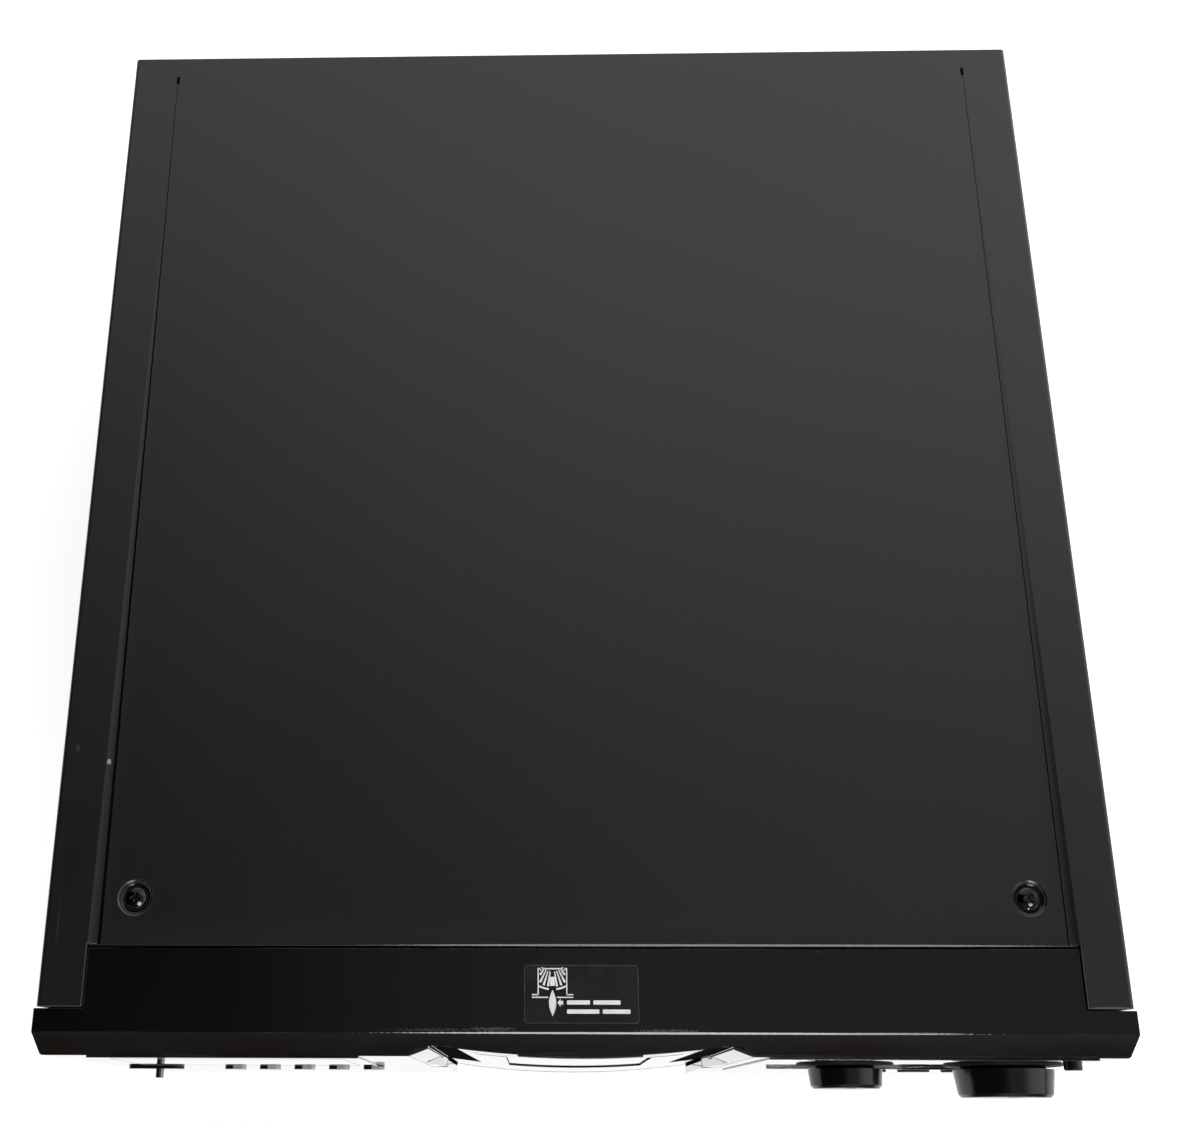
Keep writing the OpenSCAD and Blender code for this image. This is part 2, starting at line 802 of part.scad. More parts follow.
module front_door() {
    color(gloss)
        on_face()
            difference() {
                union() {
                    intersection() {
                        bowed([0, door_t], [door_v_foot - 5, door_v_top + 5]);
                        along_y([-5, 30])
                            door_outline(0);
                    }
                    for (s = [-1, 1])
                        bar_along_x(hinge_eye_r, [s > 0 ? hinge_eye_x[0] : -hinge_eye_x[1],
                            s > 0 ? hinge_eye_x[1] : -hinge_eye_x[0]], hinge_depth, hinge_v);
                }
                bar_along_x(hinge_r + 0.02, [-60, 60], hinge_depth, hinge_v);
                box([-window_half_w, window_half_w], [-5, 12], window_v);
            }
}

module door_window() {
    color(smoke)
        on_face()
            intersection() {
                bowed([0.5, door_t - 0.5], [window_v[0] - 5, window_v[1] + 5]);
                box([-window_half_w, window_half_w], [-5, 12], window_v);
            }
}

module hinge_rod() {
    color(steel)
        on_face()
            bar_along_x(hinge_r, [sector_x[0] - 1.4, ear_x + ear_t + 1], hinge_depth, hinge_v);
}

// Slanted wing beside the door: its outer edge flush with the face, its inner edge set back
module wing(side) {
    top_in = door_half(wing_v_top) + door_gap;
    v_foot = wing_v_foot + wing_fit;
    foot_in = door_half(v_foot) + door_gap;
    top_out = top_in + wing_w - wing_fit;
    foot_out = foot_in + wing_w - wing_taper - wing_fit;
    points = [[top_out, 0, wing_v_top], [foot_out, 0, v_foot], [foot_in, wing_depth, v_foot],
        [top_in, wing_depth, wing_v_top], [top_out, wing_t, wing_v_top], [foot_out, wing_t, v_foot],
        [foot_in, wing_t + wing_depth, v_foot], [top_in, wing_t + wing_depth, wing_v_top]];
    mirror([side < 0 ? 1 : 0, 0, 0])
        hull()
            polyhedron(points, [[0, 1, 2, 3], [7, 6, 5, 4], [4, 5, 1, 0], [5, 6, 2, 1], [6, 7, 3, 2], [7, 4, 0, 3]]);
}

module door_wings() {
    color("#161617")
        on_face()
            for (side = [-1, 1])
                wing(side);
}

module open_button() {
    color(black)
        on_face() {
            intersection() {
                bowed([-open_proud, wall + button_travel_gap + 0.1], open_v);
                box([-open_half_w, open_half_w], [-8, 30], open_v);
            }
            intersection() {
                bowed([wall + button_travel_gap, wall + button_travel_gap + flange_t], [open_v[0] - 1, open_v[1] + 1]);
                box([-open_half_w - 2, open_half_w + 2], [-8, 30], [open_v[0] - 1, open_v[1] + 1]);
            }
        }
}

module left_lens() {
    color(smoke)
        on_face()
            difference() {
                box([left_lens_x, -left_edge], [-lens_t, 0], [left_foot, lens_v[1]]);
                control_holes();
            }
}

// Right lens, its inner edge slanted along the wing, with a thin raised bar across it
module right_lens() {
    bar_v = key_v + 14;
    color(smoke)
        on_face()
            difference() {
                union() {
                    along_y([-lens_t, 0])
                        polygon([[right_lens_x, lens_v[0]], [lens_edge_foot, lens_v[0]], [lens_edge, lens_v[1]],
                            [right_lens_x, lens_v[1]]]);
                    box([lens_edge + 7.8, play_at[0] + 13], [-lens_t - 1, -lens_t / 2], [bar_v - 1.2, bar_v + 1.2]);
                }
                control_holes();
            }
}

module display_module() {
    color("#123434")
        on_face()
            box([display_x[0] + 1, display_x[1] - 1], [wall - 0.6, left_board_depth],
                [display_v[0] + 1, display_v[1] - 1]);
}

// A push button: cap through the face, flange behind the wall
module push_button(c, size, proud) {
    along_y([-proud, wall + button_travel_gap + 0.1])
        pill(c, size[0], size[1]);
    along_y([wall + button_travel_gap, wall + button_travel_gap + flange_t])
        pill(c, size[0] + 2 * key_flange, size[1] + 2 * key_flange);
}

module power_button() {
    color(black)
        on_face() {
            push_button(power_at, power_size, small_proud);
            along_y([-power_rib, -small_proud + 0.5])
                pill([power_at[0] + 1.6, power_at[1]], power_rib_w, power_size[1] - 1);
        }
}

module mode_button(i) {
    color(black)
        on_face()
            push_button([mode_x + i * button_pitch, mode_v], [button_w, button_h], small_proud);
}

module play_button() {
    color(black)
        on_face()
            push_button(play_at, play_size, small_proud);
}

module pause_button() {
    color(black)
        on_face()
            push_button(pause_at, side_size, small_proud);
}

module stop_button() {
    color(black)
        on_face()
            push_button(stop_at, side_size, small_proud);
}

module round_button() {
    behind = wall + button_travel_gap;
    color(black)
        on_face()
            turned(round_at)
                polygon([[0, -behind - flange_t], [round_r + 1.5, -behind - flange_t], [round_r + 1.5, -behind],
                    [round_r, -behind], [round_r, round_proud - 0.5], [round_r - 0.5, round_proud], [0, round_proud]]);
}

// A hollow dial on a shaft, with a finger dimple in its front
module dial(c, d, length, taper) {
    r = d / 2;
    difference() {
        turned(c)
            polygon([[dial_hub_r, dial_base], [dial_hub_r, length - 3], [r - taper - 2.6, length - 3],
                [r - 2.4, dial_base], [r, dial_base], [r - taper, length - 1.2], [r - taper - 1.2, length],
                [shaft_r + run_fit, length], [shaft_r + run_fit, dial_base]]);
        bar_along_y(r * 0.16, c[0], [-length - 1, -length + 0.8], c[1] + r * 0.55);
    }
    turned(c)
        polygon([[0, length - 2.6], [shaft_r + 0.3, length - 2.6], [shaft_r + 0.3, length], [0, length]]);
}

module small_dial() {
    color(black)
        on_face()
            dial(small_dial_at, small_dial_d, small_len, small_taper);
}

module large_dial() {
    color(black)
        on_face()
            dial(large_dial_at, dial_d, large_len, large_taper);
}

// Shaft of the large dial: it slides in its bush when the dial is pushed
module dial_shaft() {
    color(brass)
        on_face()
            bar_along_y(shaft_r, large_dial_at[0], [3 - large_len, encoder_face + encoder_t - 2.4], large_dial_at[1]);
}

// The two encoders: the large one open for its sliding shaft, the small one with a fixed shaft
module dial_encoders() {
    color(steel)
        on_face() {
            for (c = [small_dial_at, large_dial_at])
                difference() {
                    union() {
                        box([c[0] - encoder_w / 2, c[0] + encoder_w / 2], [encoder_face, encoder_face + encoder_t],
                            [c[1] - encoder_w / 2, c[1] + encoder_w / 2]);
                        bar_along_y(bush_r, c[0], [-bush_reach, encoder_face + 0.5], c[1]);
                    }
                    bar_along_y(shaft_r + run_fit, c[0], [-bush_reach - 1, encoder_face + encoder_t - 0.6], c[1]);
                }
            bar_along_y(shaft_r, small_dial_at[0], [3 - small_len, encoder_face + encoder_t - 0.7],
                small_dial_at[1]);
            box([small_dial_at[0] - 5, small_dial_at[0] + 5],
                [encoder_face + encoder_t - 1.6, encoder_face + encoder_t - 0.2],
                [small_dial_at[1] - 5, small_dial_at[1] + 5]);
        }
}

module dial_rings() {
    color(black)
        on_face()
            for (c = [[small_dial_at, small_dial_d / 2 + 0.7, 20], [large_dial_at, dial_d / 2 + 0.6, 24]])
                turned(c[0])
                    polygon([[c[1], lens_t], [c[2], lens_t], [c[2] - 0.4, lens_t + ring_t], [c[1], lens_t + ring_t]]);
}

// A circuit board behind the face with a switch behind each button
module panel_board(x, v, depth, switches) {
    box(x, [depth, depth + board_t], v);
    for (c = switches)
        box([c[0] - switch_w / 2, c[0] + switch_w / 2],
            [wall + button_travel_gap + flange_t + switch_gap, depth + 0.2],
            [c[1] - switch_w / 2, c[1] + switch_w / 2]);
}

module left_board() {
    color(green)
        on_face()
            panel_board(left_board_x, left_board_v, left_board_depth,
                concat([power_at], [for (i = [0:4]) [mode_x + i * button_pitch, mode_v]]));
}

module right_board() {
    color(green)
        on_face()
            panel_board(right_board_x, right_board_v, right_board_depth, [play_at, pause_at, stop_at, round_at]);
}

// Toothed sector that turns with the hinge rod
module door_sector() {
    color(ivory)
        translate([0, hinge_y, hinge_z])
            along_x(sector_x)
                difference() {
                    union() {
                        circle(3.2);
                        intersection() {
                            rotate(door_mesh_angle)
                                polygon(gear_points(sector_teeth, 1, 0.3, 3));
                            polygon([[0, 0], polar(20, -62), polar(20, -15), polar(20, 31)]);
                        }
                    }
                    circle(hinge_r + 0.02);
                }
}

module door_pinion() {
    color(ivory)
        translate([0, pinion_y, pinion_z])
            along_x([sector_x[0] - 0.5, sector_x[1] + 0.5])
                difference() {
                    rotate(180 + door_mesh_angle + 180 / door_pinion_teeth)
                        polygon(gear_points(door_pinion_teeth, 1, 0.3, 3));
                    circle(1.05);
                }
}

// Door motor on its bracket, the shaft along X
module door_motor() {
    bracket_y = back_y + 0.5;
    color(steel) {
        bar_along_x(door_motor_r, [door_motor_x - door_motor_len, door_motor_x], pinion_y, pinion_z);
        bar_along_x(1, [door_motor_x - 1, sector_x[1] + 1.5], pinion_y, pinion_z);
        difference() {
            union() {
                box([door_motor_x - 0.1, door_motor_x + plate], [pinion_y - 9, pinion_y + 9],
                    [floor_z + wall + 0.4, pinion_z + door_motor_r]);
                box([door_motor_x - 0.1, door_motor_x + plate], [bracket_y, pinion_y + 9],
                    [floor_z, pinion_z]);
            }
            bar_along_x(0.99, [door_motor_x - 1, 0], pinion_y, pinion_z);
        }
        box([door_motor_x - 16, door_motor_x + 0.1], [bracket_y, pinion_y + 9], [floor_z, floor_z + plate]);
    }
}

module on_hub() {
    translate([0, hub_y, 0])
        children();
}

// Ring tray with a round trough that cradles the disc edges, hollow below
module carousel_tray() {
    color(black)
        on_hub()
            rotate_extrude($fn = 180)
                difference() {
                    translate([tray_in_r, tray_z])
                        square([tray_r - tray_in_r, land_z - tray_z]);
                    translate([disc_ring_r, disc_z])
                        circle(cradle_r);
                    translate([tray_in_r + tray_rim, tray_z - 1])
                        square([disc_ring_r - trough_side - tray_in_r - tray_rim, land_z - tray_skin - tray_z + 1]);
                    translate([disc_ring_r + trough_side, tray_z - 1])
                        square([tray_r - tray_rim - disc_ring_r - trough_side, land_z - tray_skin - tray_z + 1]);
                    translate([disc_ring_r - trough_side + trough_web, tray_z - 1])
                        square([2 * (trough_side - trough_web), disc_z - cradle_r - tray_skin - tray_z + 1]);
                }
}

module inner_comb() {
    color(charcoal)
        on_hub()
            translate([0, 0, land_z])
                linear_extrude(comb_in_h)
                    difference() {
                        polygon(comb_points(tray_in_r + 1 + comb_wall, fin_in_r));
                        circle(tray_in_r + 1, $fn = 180);
                    }
}

module outer_comb() {
    color(charcoal)
        on_hub()
            translate([0, 0, land_z])
                linear_extrude(comb_out_h)
                    difference() {
                        circle(tray_r - 0.5, $fn = 180);
                        polygon(comb_points(tray_r - 0.5 - comb_wall, fin_out_r));
                    }
}

module carousel_gear() {
    color(ivory)
        on_hub()
            translate([0, 0, ring_gear_z])
                linear_extrude(tray_z - ring_gear_z)
                    difference() {
                        rotate(drive_angle)
                            polygon(gear_points(ring_teeth, ring_module, 0.5, 1));
                        circle(ring_gear_in_r, $fn = 180);
                    }
}

// Fixed track that the tray's bore turns on, and low pads under the ring gear
module carousel_track() {
    color(ivory)
        on_hub() {
            difference() {
                bar_along_z(track_r, 0, 0, [floor_z, floor_z + track_h]);
                bar_along_z(track_in_r, 0, 0, [floor_z - 1, floor_z + track_h + 1]);
            }
            for (a = [0:60:300])
                bar_along_z(pad_r, pad_at_r * cos(a), pad_at_r * sin(a), [floor_z, ring_gear_z - pad_gap]);
        }
}

// Compound gear and pulley that turns the carousel
module drive_gear() {
    color(ivory)
        translate([drive_x, drive_y, 0])
            difference() {
                union() {
                    translate([0, 0, ring_gear_z])
                        linear_extrude(tray_z - ring_gear_z - gear_face_gap)
                            rotate(180 + drive_angle + 180 / drive_teeth)
                                polygon(gear_points(drive_teeth, ring_module, 0.5, 3));
                    bar_along_z(8, 0, 0, [ring_gear_z, pulley_z + 0.5]);
                    bar_along_z(pulley_flange_r, 0, 0, [pulley_z, pulley_z + 1.5]);
                    bar_along_z(pulley_r, 0, 0, [pulley_z + 1, pulley_z + pulley_t - 1]);
                    bar_along_z(pulley_flange_r, 0, 0, [pulley_z + pulley_t - 1.5, pulley_z + pulley_t]);
                }
                bar_along_z(axle_r + run_fit, 0, 0, [floor_z, pulley_z + pulley_t + 1]);
            }
}

// Flat table motor with its shaft, and the fixed axle of the drive gear
module table_motor() {
    color(steel) {
        bar_along_z(motor_r, motor_x, motor_y, [floor_z, floor_z + motor_h]);
        bar_along_z(motor_shaft_r, motor_x, motor_y, [floor_z + motor_h - 1, pulley_z + pulley_t + 1.5]);
        bar_along_z(7, drive_x, drive_y, [floor_z, ring_gear_z - pad_gap]);
        bar_along_z(axle_r, drive_x, drive_y, [floor_z, pulley_z + pulley_t + 1.5]);
    }
}

module motor_pulley() {
    color(brass)
        translate([motor_x, motor_y, 0])
            difference() {
                union() {
                    bar_along_z(motor_flange_r, 0, 0, [pulley_z, pulley_z + 1.5]);
                    bar_along_z(motor_pulley_r, 0, 0, [pulley_z + 1, pulley_z + pulley_t - 1]);
                    bar_along_z(motor_flange_r, 0, 0, [pulley_z + pulley_t - 1.5, pulley_z + pulley_t]);
                }
                bar_along_z(motor_shaft_r + run_fit, 0, 0, [pulley_z - 1, pulley_z + pulley_t + 1]);
            }
}

// Loop of the belt, grown by its thickness
module belt_loop(grow) {
    hull() {
        translate([drive_x, drive_y])
            circle(pulley_r + belt_gap + grow);
        translate([motor_x, motor_y])
            circle(motor_pulley_r + belt_gap + grow);
    }
}

module table_belt() {
    color("#202020")
        translate([0, 0, pulley_z + (pulley_t - belt_w) / 2])
            linear_extrude(belt_w)
                difference() {
                    belt_loop(belt_t);
                    belt_loop(0);
                }
}

// Tower of the player: base, two side walls and a top plate with the guides of the loading bar
module mech_frame() {
    wall_z = [floor_z + tower_base_t - 0.5, tower_top_z + 0.5];
    ear_z = [clamp_z - 6, tower_top_z + 0.5];
    color(charcoal)
        difference() {
            union() {
                on_hub()
                    bar_along_z(tower_r, 0, 0, [floor_z, floor_z + tower_base_t]);
                difference() {
                    box(left_wall_x, [tower_front_y, tower_back_y], wall_z);
                    box([left_wall_x[0] - 1, left_wall_x[1] + 1], [tower_front_y + 32, tower_back_y - 3],
                        [disc_z - 32, disc_z + 32]);
                }
                difference() {
                    box(right_wall_x, [tower_front_y, right_wall_back_y], wall_z);
                    box([right_wall_x[0] - 1, right_wall_x[1] + 1], [tower_front_y + 22, right_wall_back_y - 22],
                        [floor_z + 30, disc_z + 20]);
                    box([right_wall_x[0] - 1, right_wall_x[1] + 1], [load_y - 13, load_y + 13],
                        [tower_top_z - load_motor_h - 4, tower_top_z - 0.1]);
                }
                box([left_wall_x[0], right_wall_x[1]], [tower_front_y, tower_top_back_y],
                    [tower_top_z, tower_top_z + tower_top_t]);
                for (s = [-1, 1])
                    box([clamp_x - 4, right_wall_x[0] + 0.5], [hub_y + s * 16.5 - 2.5, hub_y + s * 16.5 + 2.5], ear_z);
                for (y = guide_y)
                    box([-bar_half - 4, bar_half + 6], [y, y + guide_t],
                        [tower_top_z + tower_top_t - 0.5, bar_z[1] + 3]);
            }
            for (y = guide_y)
                box([-bar_half - 0.3, bar_half + 2.2], [y - 1, y + guide_t + 1],
                    [tower_top_z + tower_top_t, bar_z[1] + 0.3]);
            bar_along_y(clamp_pin_r + 0.02, clamp_x, [hub_y - 30, hub_y + 30], clamp_z);
            bar_along_z(3, load_x, load_y, [tower_top_z - 1, tower_top_z + tower_top_t + 1]);
        }
}

// Carrier of the player parts, on four soft dampers
module base_unit() {
    block_z = [disc_z - rod_drop - 4, disc_z + screw_rise + 4];
    color(black)
        difference() {
            union() {
                box(unit_x, unit_y, unit_z);
                for (y = rod_block_y)
                    box([rod_x - 3, unit_x[0] + 0.5], [y, y + rod_block_t], block_z);
                for (y = [unit_y[0] + 3, unit_y[1] - 4], z = [unit_z[0] + 3, unit_z[1] - 3])
                    bar_along_x(y > hub_y ? 2 : damper_r - 1.2, [left_wall_x[1], unit_x[0] + 0.5], y, z);
            }
            box([unit_x[0] - 1, unit_x[1] + 1], [hub_y + 17, rod_block_y[1]], [disc_z - 12, disc_z + 12]);
            bar_along_x(3, [unit_x[0] - 1, unit_x[1] + 1], hub_y, disc_z);
            for (z = [disc_z - rod_drop, disc_z + rod_drop])
                bar_along_y(rod_r + 0.02, rod_x, [hub_y, hub_y + 80], z);
            bar_along_y(rod_r + run_fit, rod_x, [hub_y, hub_y + 80], disc_z + screw_rise);
        }
}

// Guide rods of the pickup, and the pin of the clamp arm
module guide_rods() {
    color(steel) {
        for (z = [disc_z - rod_drop, disc_z + rod_drop])
            bar_along_y(rod_r, rod_x, [rod_block_y[0] + 0.2, rod_block_y[1] + rod_block_t], z);
        bar_along_y(clamp_pin_r, clamp_x, [hub_y - 20, hub_y + 20], clamp_z);
    }
}

// Spindle motor, sled motor and loading motor, each a can with its shaft
module spindle_motor() {
    color(steel) {
        bar_along_x(spindle_r, [unit_x[0] - spindle_len, unit_x[0]], hub_y, disc_z);
        bar_along_x(spindle_shaft_r, [unit_x[0] - 1, 1], hub_y, disc_z);
        bar_along_y(7, rod_x, [rod_block_y[0] - 21, rod_block_y[0]], disc_z + screw_rise);
        bar_along_z(load_motor_r, load_x, load_y, [tower_top_z - load_motor_h, tower_top_z]);
        bar_along_z(1.5, load_x, load_y, [tower_top_z - 1, bar_z[1] + 1]);
    }
}

module spindle_hub() {
    color(ivory)
        translate([0, hub_y, disc_z])
            rotate([0, 90, 0])
                rotate_extrude()
                    polygon([[spindle_shaft_r + run_fit, -3], [14, -3], [14, -0.6], [7.4, -0.6], [7.4, 0.6],
                        [5.5, 1.6], [spindle_shaft_r + run_fit, 1.6]]);
}

// Optical pickup on its sled, the lens toward the disc
module pickup() {
    color(charcoal)
        difference() {
            union() {
                box([rod_x - 4, unit_x[0] - 1.5], pickup_y, [disc_z - rod_drop - 4, disc_z + screw_rise + 4]);
                box([unit_x[0] - 2, -4.6], pickup_y, [disc_z - 10, disc_z + 10]);
                bar_along_x(3.6, [-5, -3.6], (pickup_y[0] + pickup_y[1]) / 2, disc_z);
            }
            for (z = [disc_z - rod_drop, disc_z + rod_drop])
                bar_along_y(rod_r + run_fit, rod_x, [hub_y, hub_y + 80], z);
            bar_along_y(rod_r + 0.1, rod_x, [hub_y, hub_y + 80], disc_z + screw_rise);
        }
}

module sled_screw() {
    color(brass)
        bar_along_y(rod_r, rod_x, [rod_block_y[0] + 0.2, rod_block_y[1] + rod_block_t], disc_z + screw_rise);
}

module clamp_arm() {
    color(steel)
        difference() {
            union() {
                box([10.5, 13], [hub_y - clamp_half, hub_y + clamp_half], [disc_z - 14, clamp_z]);
                bar_along_y(clamp_eye_r, clamp_x, [hub_y - clamp_half, hub_y + clamp_half], clamp_z);
                bar_along_x(2, [puck_x[0] + 1.2, 11], hub_y, disc_z);
            }
            bar_along_y(clamp_pin_r + run_fit, clamp_x, [hub_y - 30, hub_y + 30], clamp_z);
        }
}

module clamp_puck() {
    color(black)
        difference() {
            bar_along_x(puck_r, puck_x, hub_y, disc_z);
            bar_along_x(9, [puck_x[0] - 1, puck_x[0] + 1.1], hub_y, disc_z);
            bar_along_x(2.05, [0, 20], hub_y, disc_z);
        }
}

// Loading bar: a rack on its side, and a finger that drives a disc out of its slit
module load_slider() {
    tooth = PI * rack_module;
    count = 44;
    start = load_y;
    color(ivory) {
        box([-bar_half, bar_half], bar_y, bar_z);
        box([-1, 1], [bar_y[1] - 6, bar_y[1]], [disc_z + 2, bar_z[0] + 0.5]);
        for (i = [-1:count])
            translate([bar_half - 0.01, start + i * tooth, bar_z[0]])
                linear_extrude(bar_z[1] - bar_z[0])
                    polygon([[0, -1.15], [1.85, -0.3], [1.85, 0.3], [0, 1.15]]);
    }
}

module load_pinion() {
    color(brass)
        translate([load_x, load_y, bar_z[0] + 0.3])
            linear_extrude(bar_z[1] - bar_z[0] - 0.6)
                difference() {
                    rotate(180 + 180 / load_teeth)
                        polygon(gear_points(load_teeth, rack_module, 0.3, 3));
                    circle(1.55);
                }
}

// Main circuit board with its tall parts
module main_board() {
    mid_y = (board_y[0] + board_y[1]) / 2;
    top = board_z + board_t;
    color(green) {
        box(board_x, board_y, [board_z, top]);
        for (x = [-108, -90, -72])
            bar_along_z(6, x, mid_y, [top - 0.2, top + 22]);
        box([-50, -20], [mid_y - 3, mid_y + 3], [top - 0.2, top + 26]);
        box([-8, 14], [mid_y - 10, mid_y + 10], [top - 0.2, top + 3]);
        box([20, 32], [mid_y - 6, mid_y + 6], [top - 0.2, top + 3]);
    }
}

module transformer() {
    mid = (transformer_x[0] + transformer_x[1]) / 2;
    color("#6b5a3c") {
        box(transformer_x, transformer_y, [floor_z, floor_z + plate]);
        box([mid - 24, mid + 24], [transformer_y[0] + 10, transformer_y[1] - 10], [floor_z, floor_z + 46]);
        box([mid - 15, mid + 15], [transformer_y[0] + 2, transformer_y[1] - 2], [floor_z + 9, floor_z + 37]);
    }
}

// Phono, optical and control jacks through the rear panel
module rear_jacks() {
    back = [rear_in_y - 14, rear_in_y];
    tip = rear_y + jack_reach;
    color(black) {
        box([jack_x[0] - 9, jack_x[1] + 9], back, [board_z + board_t, jack_z + 9]);
        for (x = jack_x)
            difference() {
                union() {
                    bar_along_y(jack_base_r, x, [rear_in_y - 0.5, jack_seat_y], jack_z);
                    bar_along_y(jack_r, x, [jack_seat_y - 0.1, tip], jack_z);
                }
                bar_along_y(3.2, x, [rear_face_y, tip + 1], jack_z);
            }
        for (x = jack_x)
            difference() {
                bar_along_y(2.6, x, [rear_face_y - 0.5, tip - 0.6], jack_z);
                bar_along_y(1.6, x, [rear_face_y + 0.2, tip + 1], jack_z);
            }
        box([optical_x - 8, optical_x + 8], back, [board_z + board_t, jack_z + 8]);
        box([optical_x - 5, optical_x + 5], [rear_in_y - 0.5, rear_y + 1], [jack_z - 5, jack_z + 5]);
        difference() {
            union() {
                box([control_x[0] - 7, control_x[1] + 7], back, [board_z + board_t, jack_z + 7]);
                for (x = control_x)
                    bar_along_y(4, x, [rear_in_y - 0.5, rear_y + 1], jack_z);
            }
            for (x = control_x)
                bar_along_y(1.8, x, [rear_in_y - 8, rear_y + 2], jack_z);
        }
    }
}

// Two-pole appliance inlet with an open socket
module mains_inlet() {
    depth = [rear_in_y - 20, rear_face_y + 1.5];
    color(black) {
        difference() {
            union() {
                box([inlet_x - inlet_size[0] / 2, inlet_x + inlet_size[0] / 2], depth,
                    [inlet_z - inlet_size[1] / 2, inlet_z + inlet_size[1] / 2]);
                box([inlet_x - inlet_size[0] / 2 - 3, inlet_x + inlet_size[0] / 2 + 3], [rear_in_y - 3, rear_in_y],
                    [floor_z, inlet_z + inlet_size[1] / 2 + 3]);
            }
            along_y([rear_in_y - 13, rear_y + 10])
                pill([inlet_x, inlet_z], 17, 9);
        }
        for (s = [-1, 1])
            bar_along_y(1.2, inlet_x + s * 4.3, [rear_in_y - 14, rear_in_y - 3], inlet_z);
    }
}

top_cover();
chassis();
rear_panel();
front_panel();
feet();
foot_pads();
front_stay();
cover_screws();
front_door();
door_window();
hinge_rod();
door_wings();
open_button();
left_lens();
right_lens();
display_module();
power_button();
mode_button(0);  // mode_button_1
mode_button(1);  // mode_button_2
mode_button(2);  // mode_button_3
mode_button(3);  // mode_button_4
mode_button(4);  // mode_button_5
play_button();
pause_button();
stop_button();
round_button();
small_dial();
large_dial();
dial_shaft();
dial_encoders();
dial_rings();
left_board();
right_board();
door_sector();
door_pinion();
door_motor();
carousel_tray();
inner_comb();
outer_comb();
carousel_gear();
carousel_track();
drive_gear();
table_motor();
motor_pulley();
table_belt();
mech_frame();
base_unit();
guide_rods();
spindle_motor();
spindle_hub();
pickup();
sled_screw();
clamp_arm();
clamp_puck();
load_slider();
load_pinion();
main_board();
transformer();
rear_jacks();
mains_inlet();
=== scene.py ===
import bmesh
import bpy
import math
from mathutils import Euler, Matrix, Vector


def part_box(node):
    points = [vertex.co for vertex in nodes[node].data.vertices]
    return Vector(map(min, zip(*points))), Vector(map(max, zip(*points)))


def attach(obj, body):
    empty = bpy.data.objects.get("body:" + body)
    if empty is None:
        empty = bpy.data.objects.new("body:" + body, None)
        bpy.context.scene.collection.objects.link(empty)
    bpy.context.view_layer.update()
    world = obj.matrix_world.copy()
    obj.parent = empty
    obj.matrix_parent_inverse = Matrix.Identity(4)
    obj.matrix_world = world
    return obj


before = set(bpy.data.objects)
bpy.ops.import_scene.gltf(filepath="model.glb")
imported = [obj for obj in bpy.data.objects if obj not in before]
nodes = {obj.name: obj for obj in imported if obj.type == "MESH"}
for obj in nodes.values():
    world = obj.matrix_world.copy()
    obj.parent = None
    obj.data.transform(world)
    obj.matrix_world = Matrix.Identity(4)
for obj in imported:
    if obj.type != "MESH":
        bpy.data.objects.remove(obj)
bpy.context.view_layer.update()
mm = 0.001
scene = bpy.context.scene
scene.view_settings.view_transform = "Standard"
print("frame in:", len(nodes), "solids")


# places that the trim follows, read from the solids, in mm
def boxOf(name):
    low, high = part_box(name)
    return low / mm, high / mm


face = {"lean": math.radians(1.8), "lensOut": 0.6, "lensTop": 6.0, "cellOut": -2.4, "shelfBack": 8.5}
leanSin, leanCos = math.sin(face["lean"]), math.cos(face["lean"])
lensHigh = boxOf("left_lens")[1]
faceY = lensHigh.y + face["lensTop"] * leanSin
faceZ = lensHigh.z - face["lensOut"] * leanSin + face["lensTop"] * leanCos
edgeY = faceY + face["shelfBack"]  # front edge of the shelf
shelfZ = boxOf("front_panel")[1].z
coverZ = boxOf("top_cover")[1].z
rearY = boxOf("rear_panel")[1].y


# camera, as the photo was taken: above the front edge, looking down and back a little;
# its place is measured from that edge, in mm
eye = {"place": (-17.18, -16.61, 779.83), "turn": (19.638, 1.267, 0.198), "lens": 43.52,
       "shift": (0.0809, -0.0012), "sensor": 36.0, "clip": (0.01, 60.0)}


def setCamera():
    lens = bpy.data.cameras.new("eye")
    lens.sensor_width = eye["sensor"]
    lens.lens = eye["lens"]
    lens.shift_x, lens.shift_y = eye["shift"]
    lens.clip_start, lens.clip_end = eye["clip"]
    cam = bpy.data.objects.new("eye", lens)
    cam.location = Vector(eye["place"]) * mm + Vector((0, edgeY * mm, 0))
    cam.rotation_euler = Euler([math.radians(a) for a in eye["turn"]], "XYZ")
    scene.collection.objects.link(cam)
    scene.camera = cam


setCamera()
print("camera set")


# small helpers for node trees: a value is a number, a colour or another node's socket
def feed(socket, value):
    if isinstance(value, bpy.types.NodeSocket):
        socket.id_data.links.new(value, socket)
    elif isinstance(value, tuple) and len(value) == 3 and socket.type == "RGBA":
        socket.default_value = (*value, 1.0)
    else:
        socket.default_value = value


def addNode(tree, kind, *terms, **settings):
    node = tree.nodes.new("ShaderNode" + kind)
    for key, value in settings.items():
        setattr(node, key, value)
    for socket, term in zip(node.inputs, terms):
        feed(socket, term)
    return node


def reckon(tree, operation, *terms):
    return addNode(tree, "Math", *terms, operation=operation).outputs[0]


# value, from low, from high, to low, to high
def span(tree, *terms):
    return addNode(tree, "MapRange", *terms, interpolation_type="SMOOTHSTEP").outputs[0]


def mixTone(tree, mask, under, over):
    node = addNode(tree, "Mix", data_type="RGBA")
    feed(node.inputs[0], mask)
    feed(node.inputs[6], under)
    feed(node.inputs[7], over)
    return node.outputs[2]


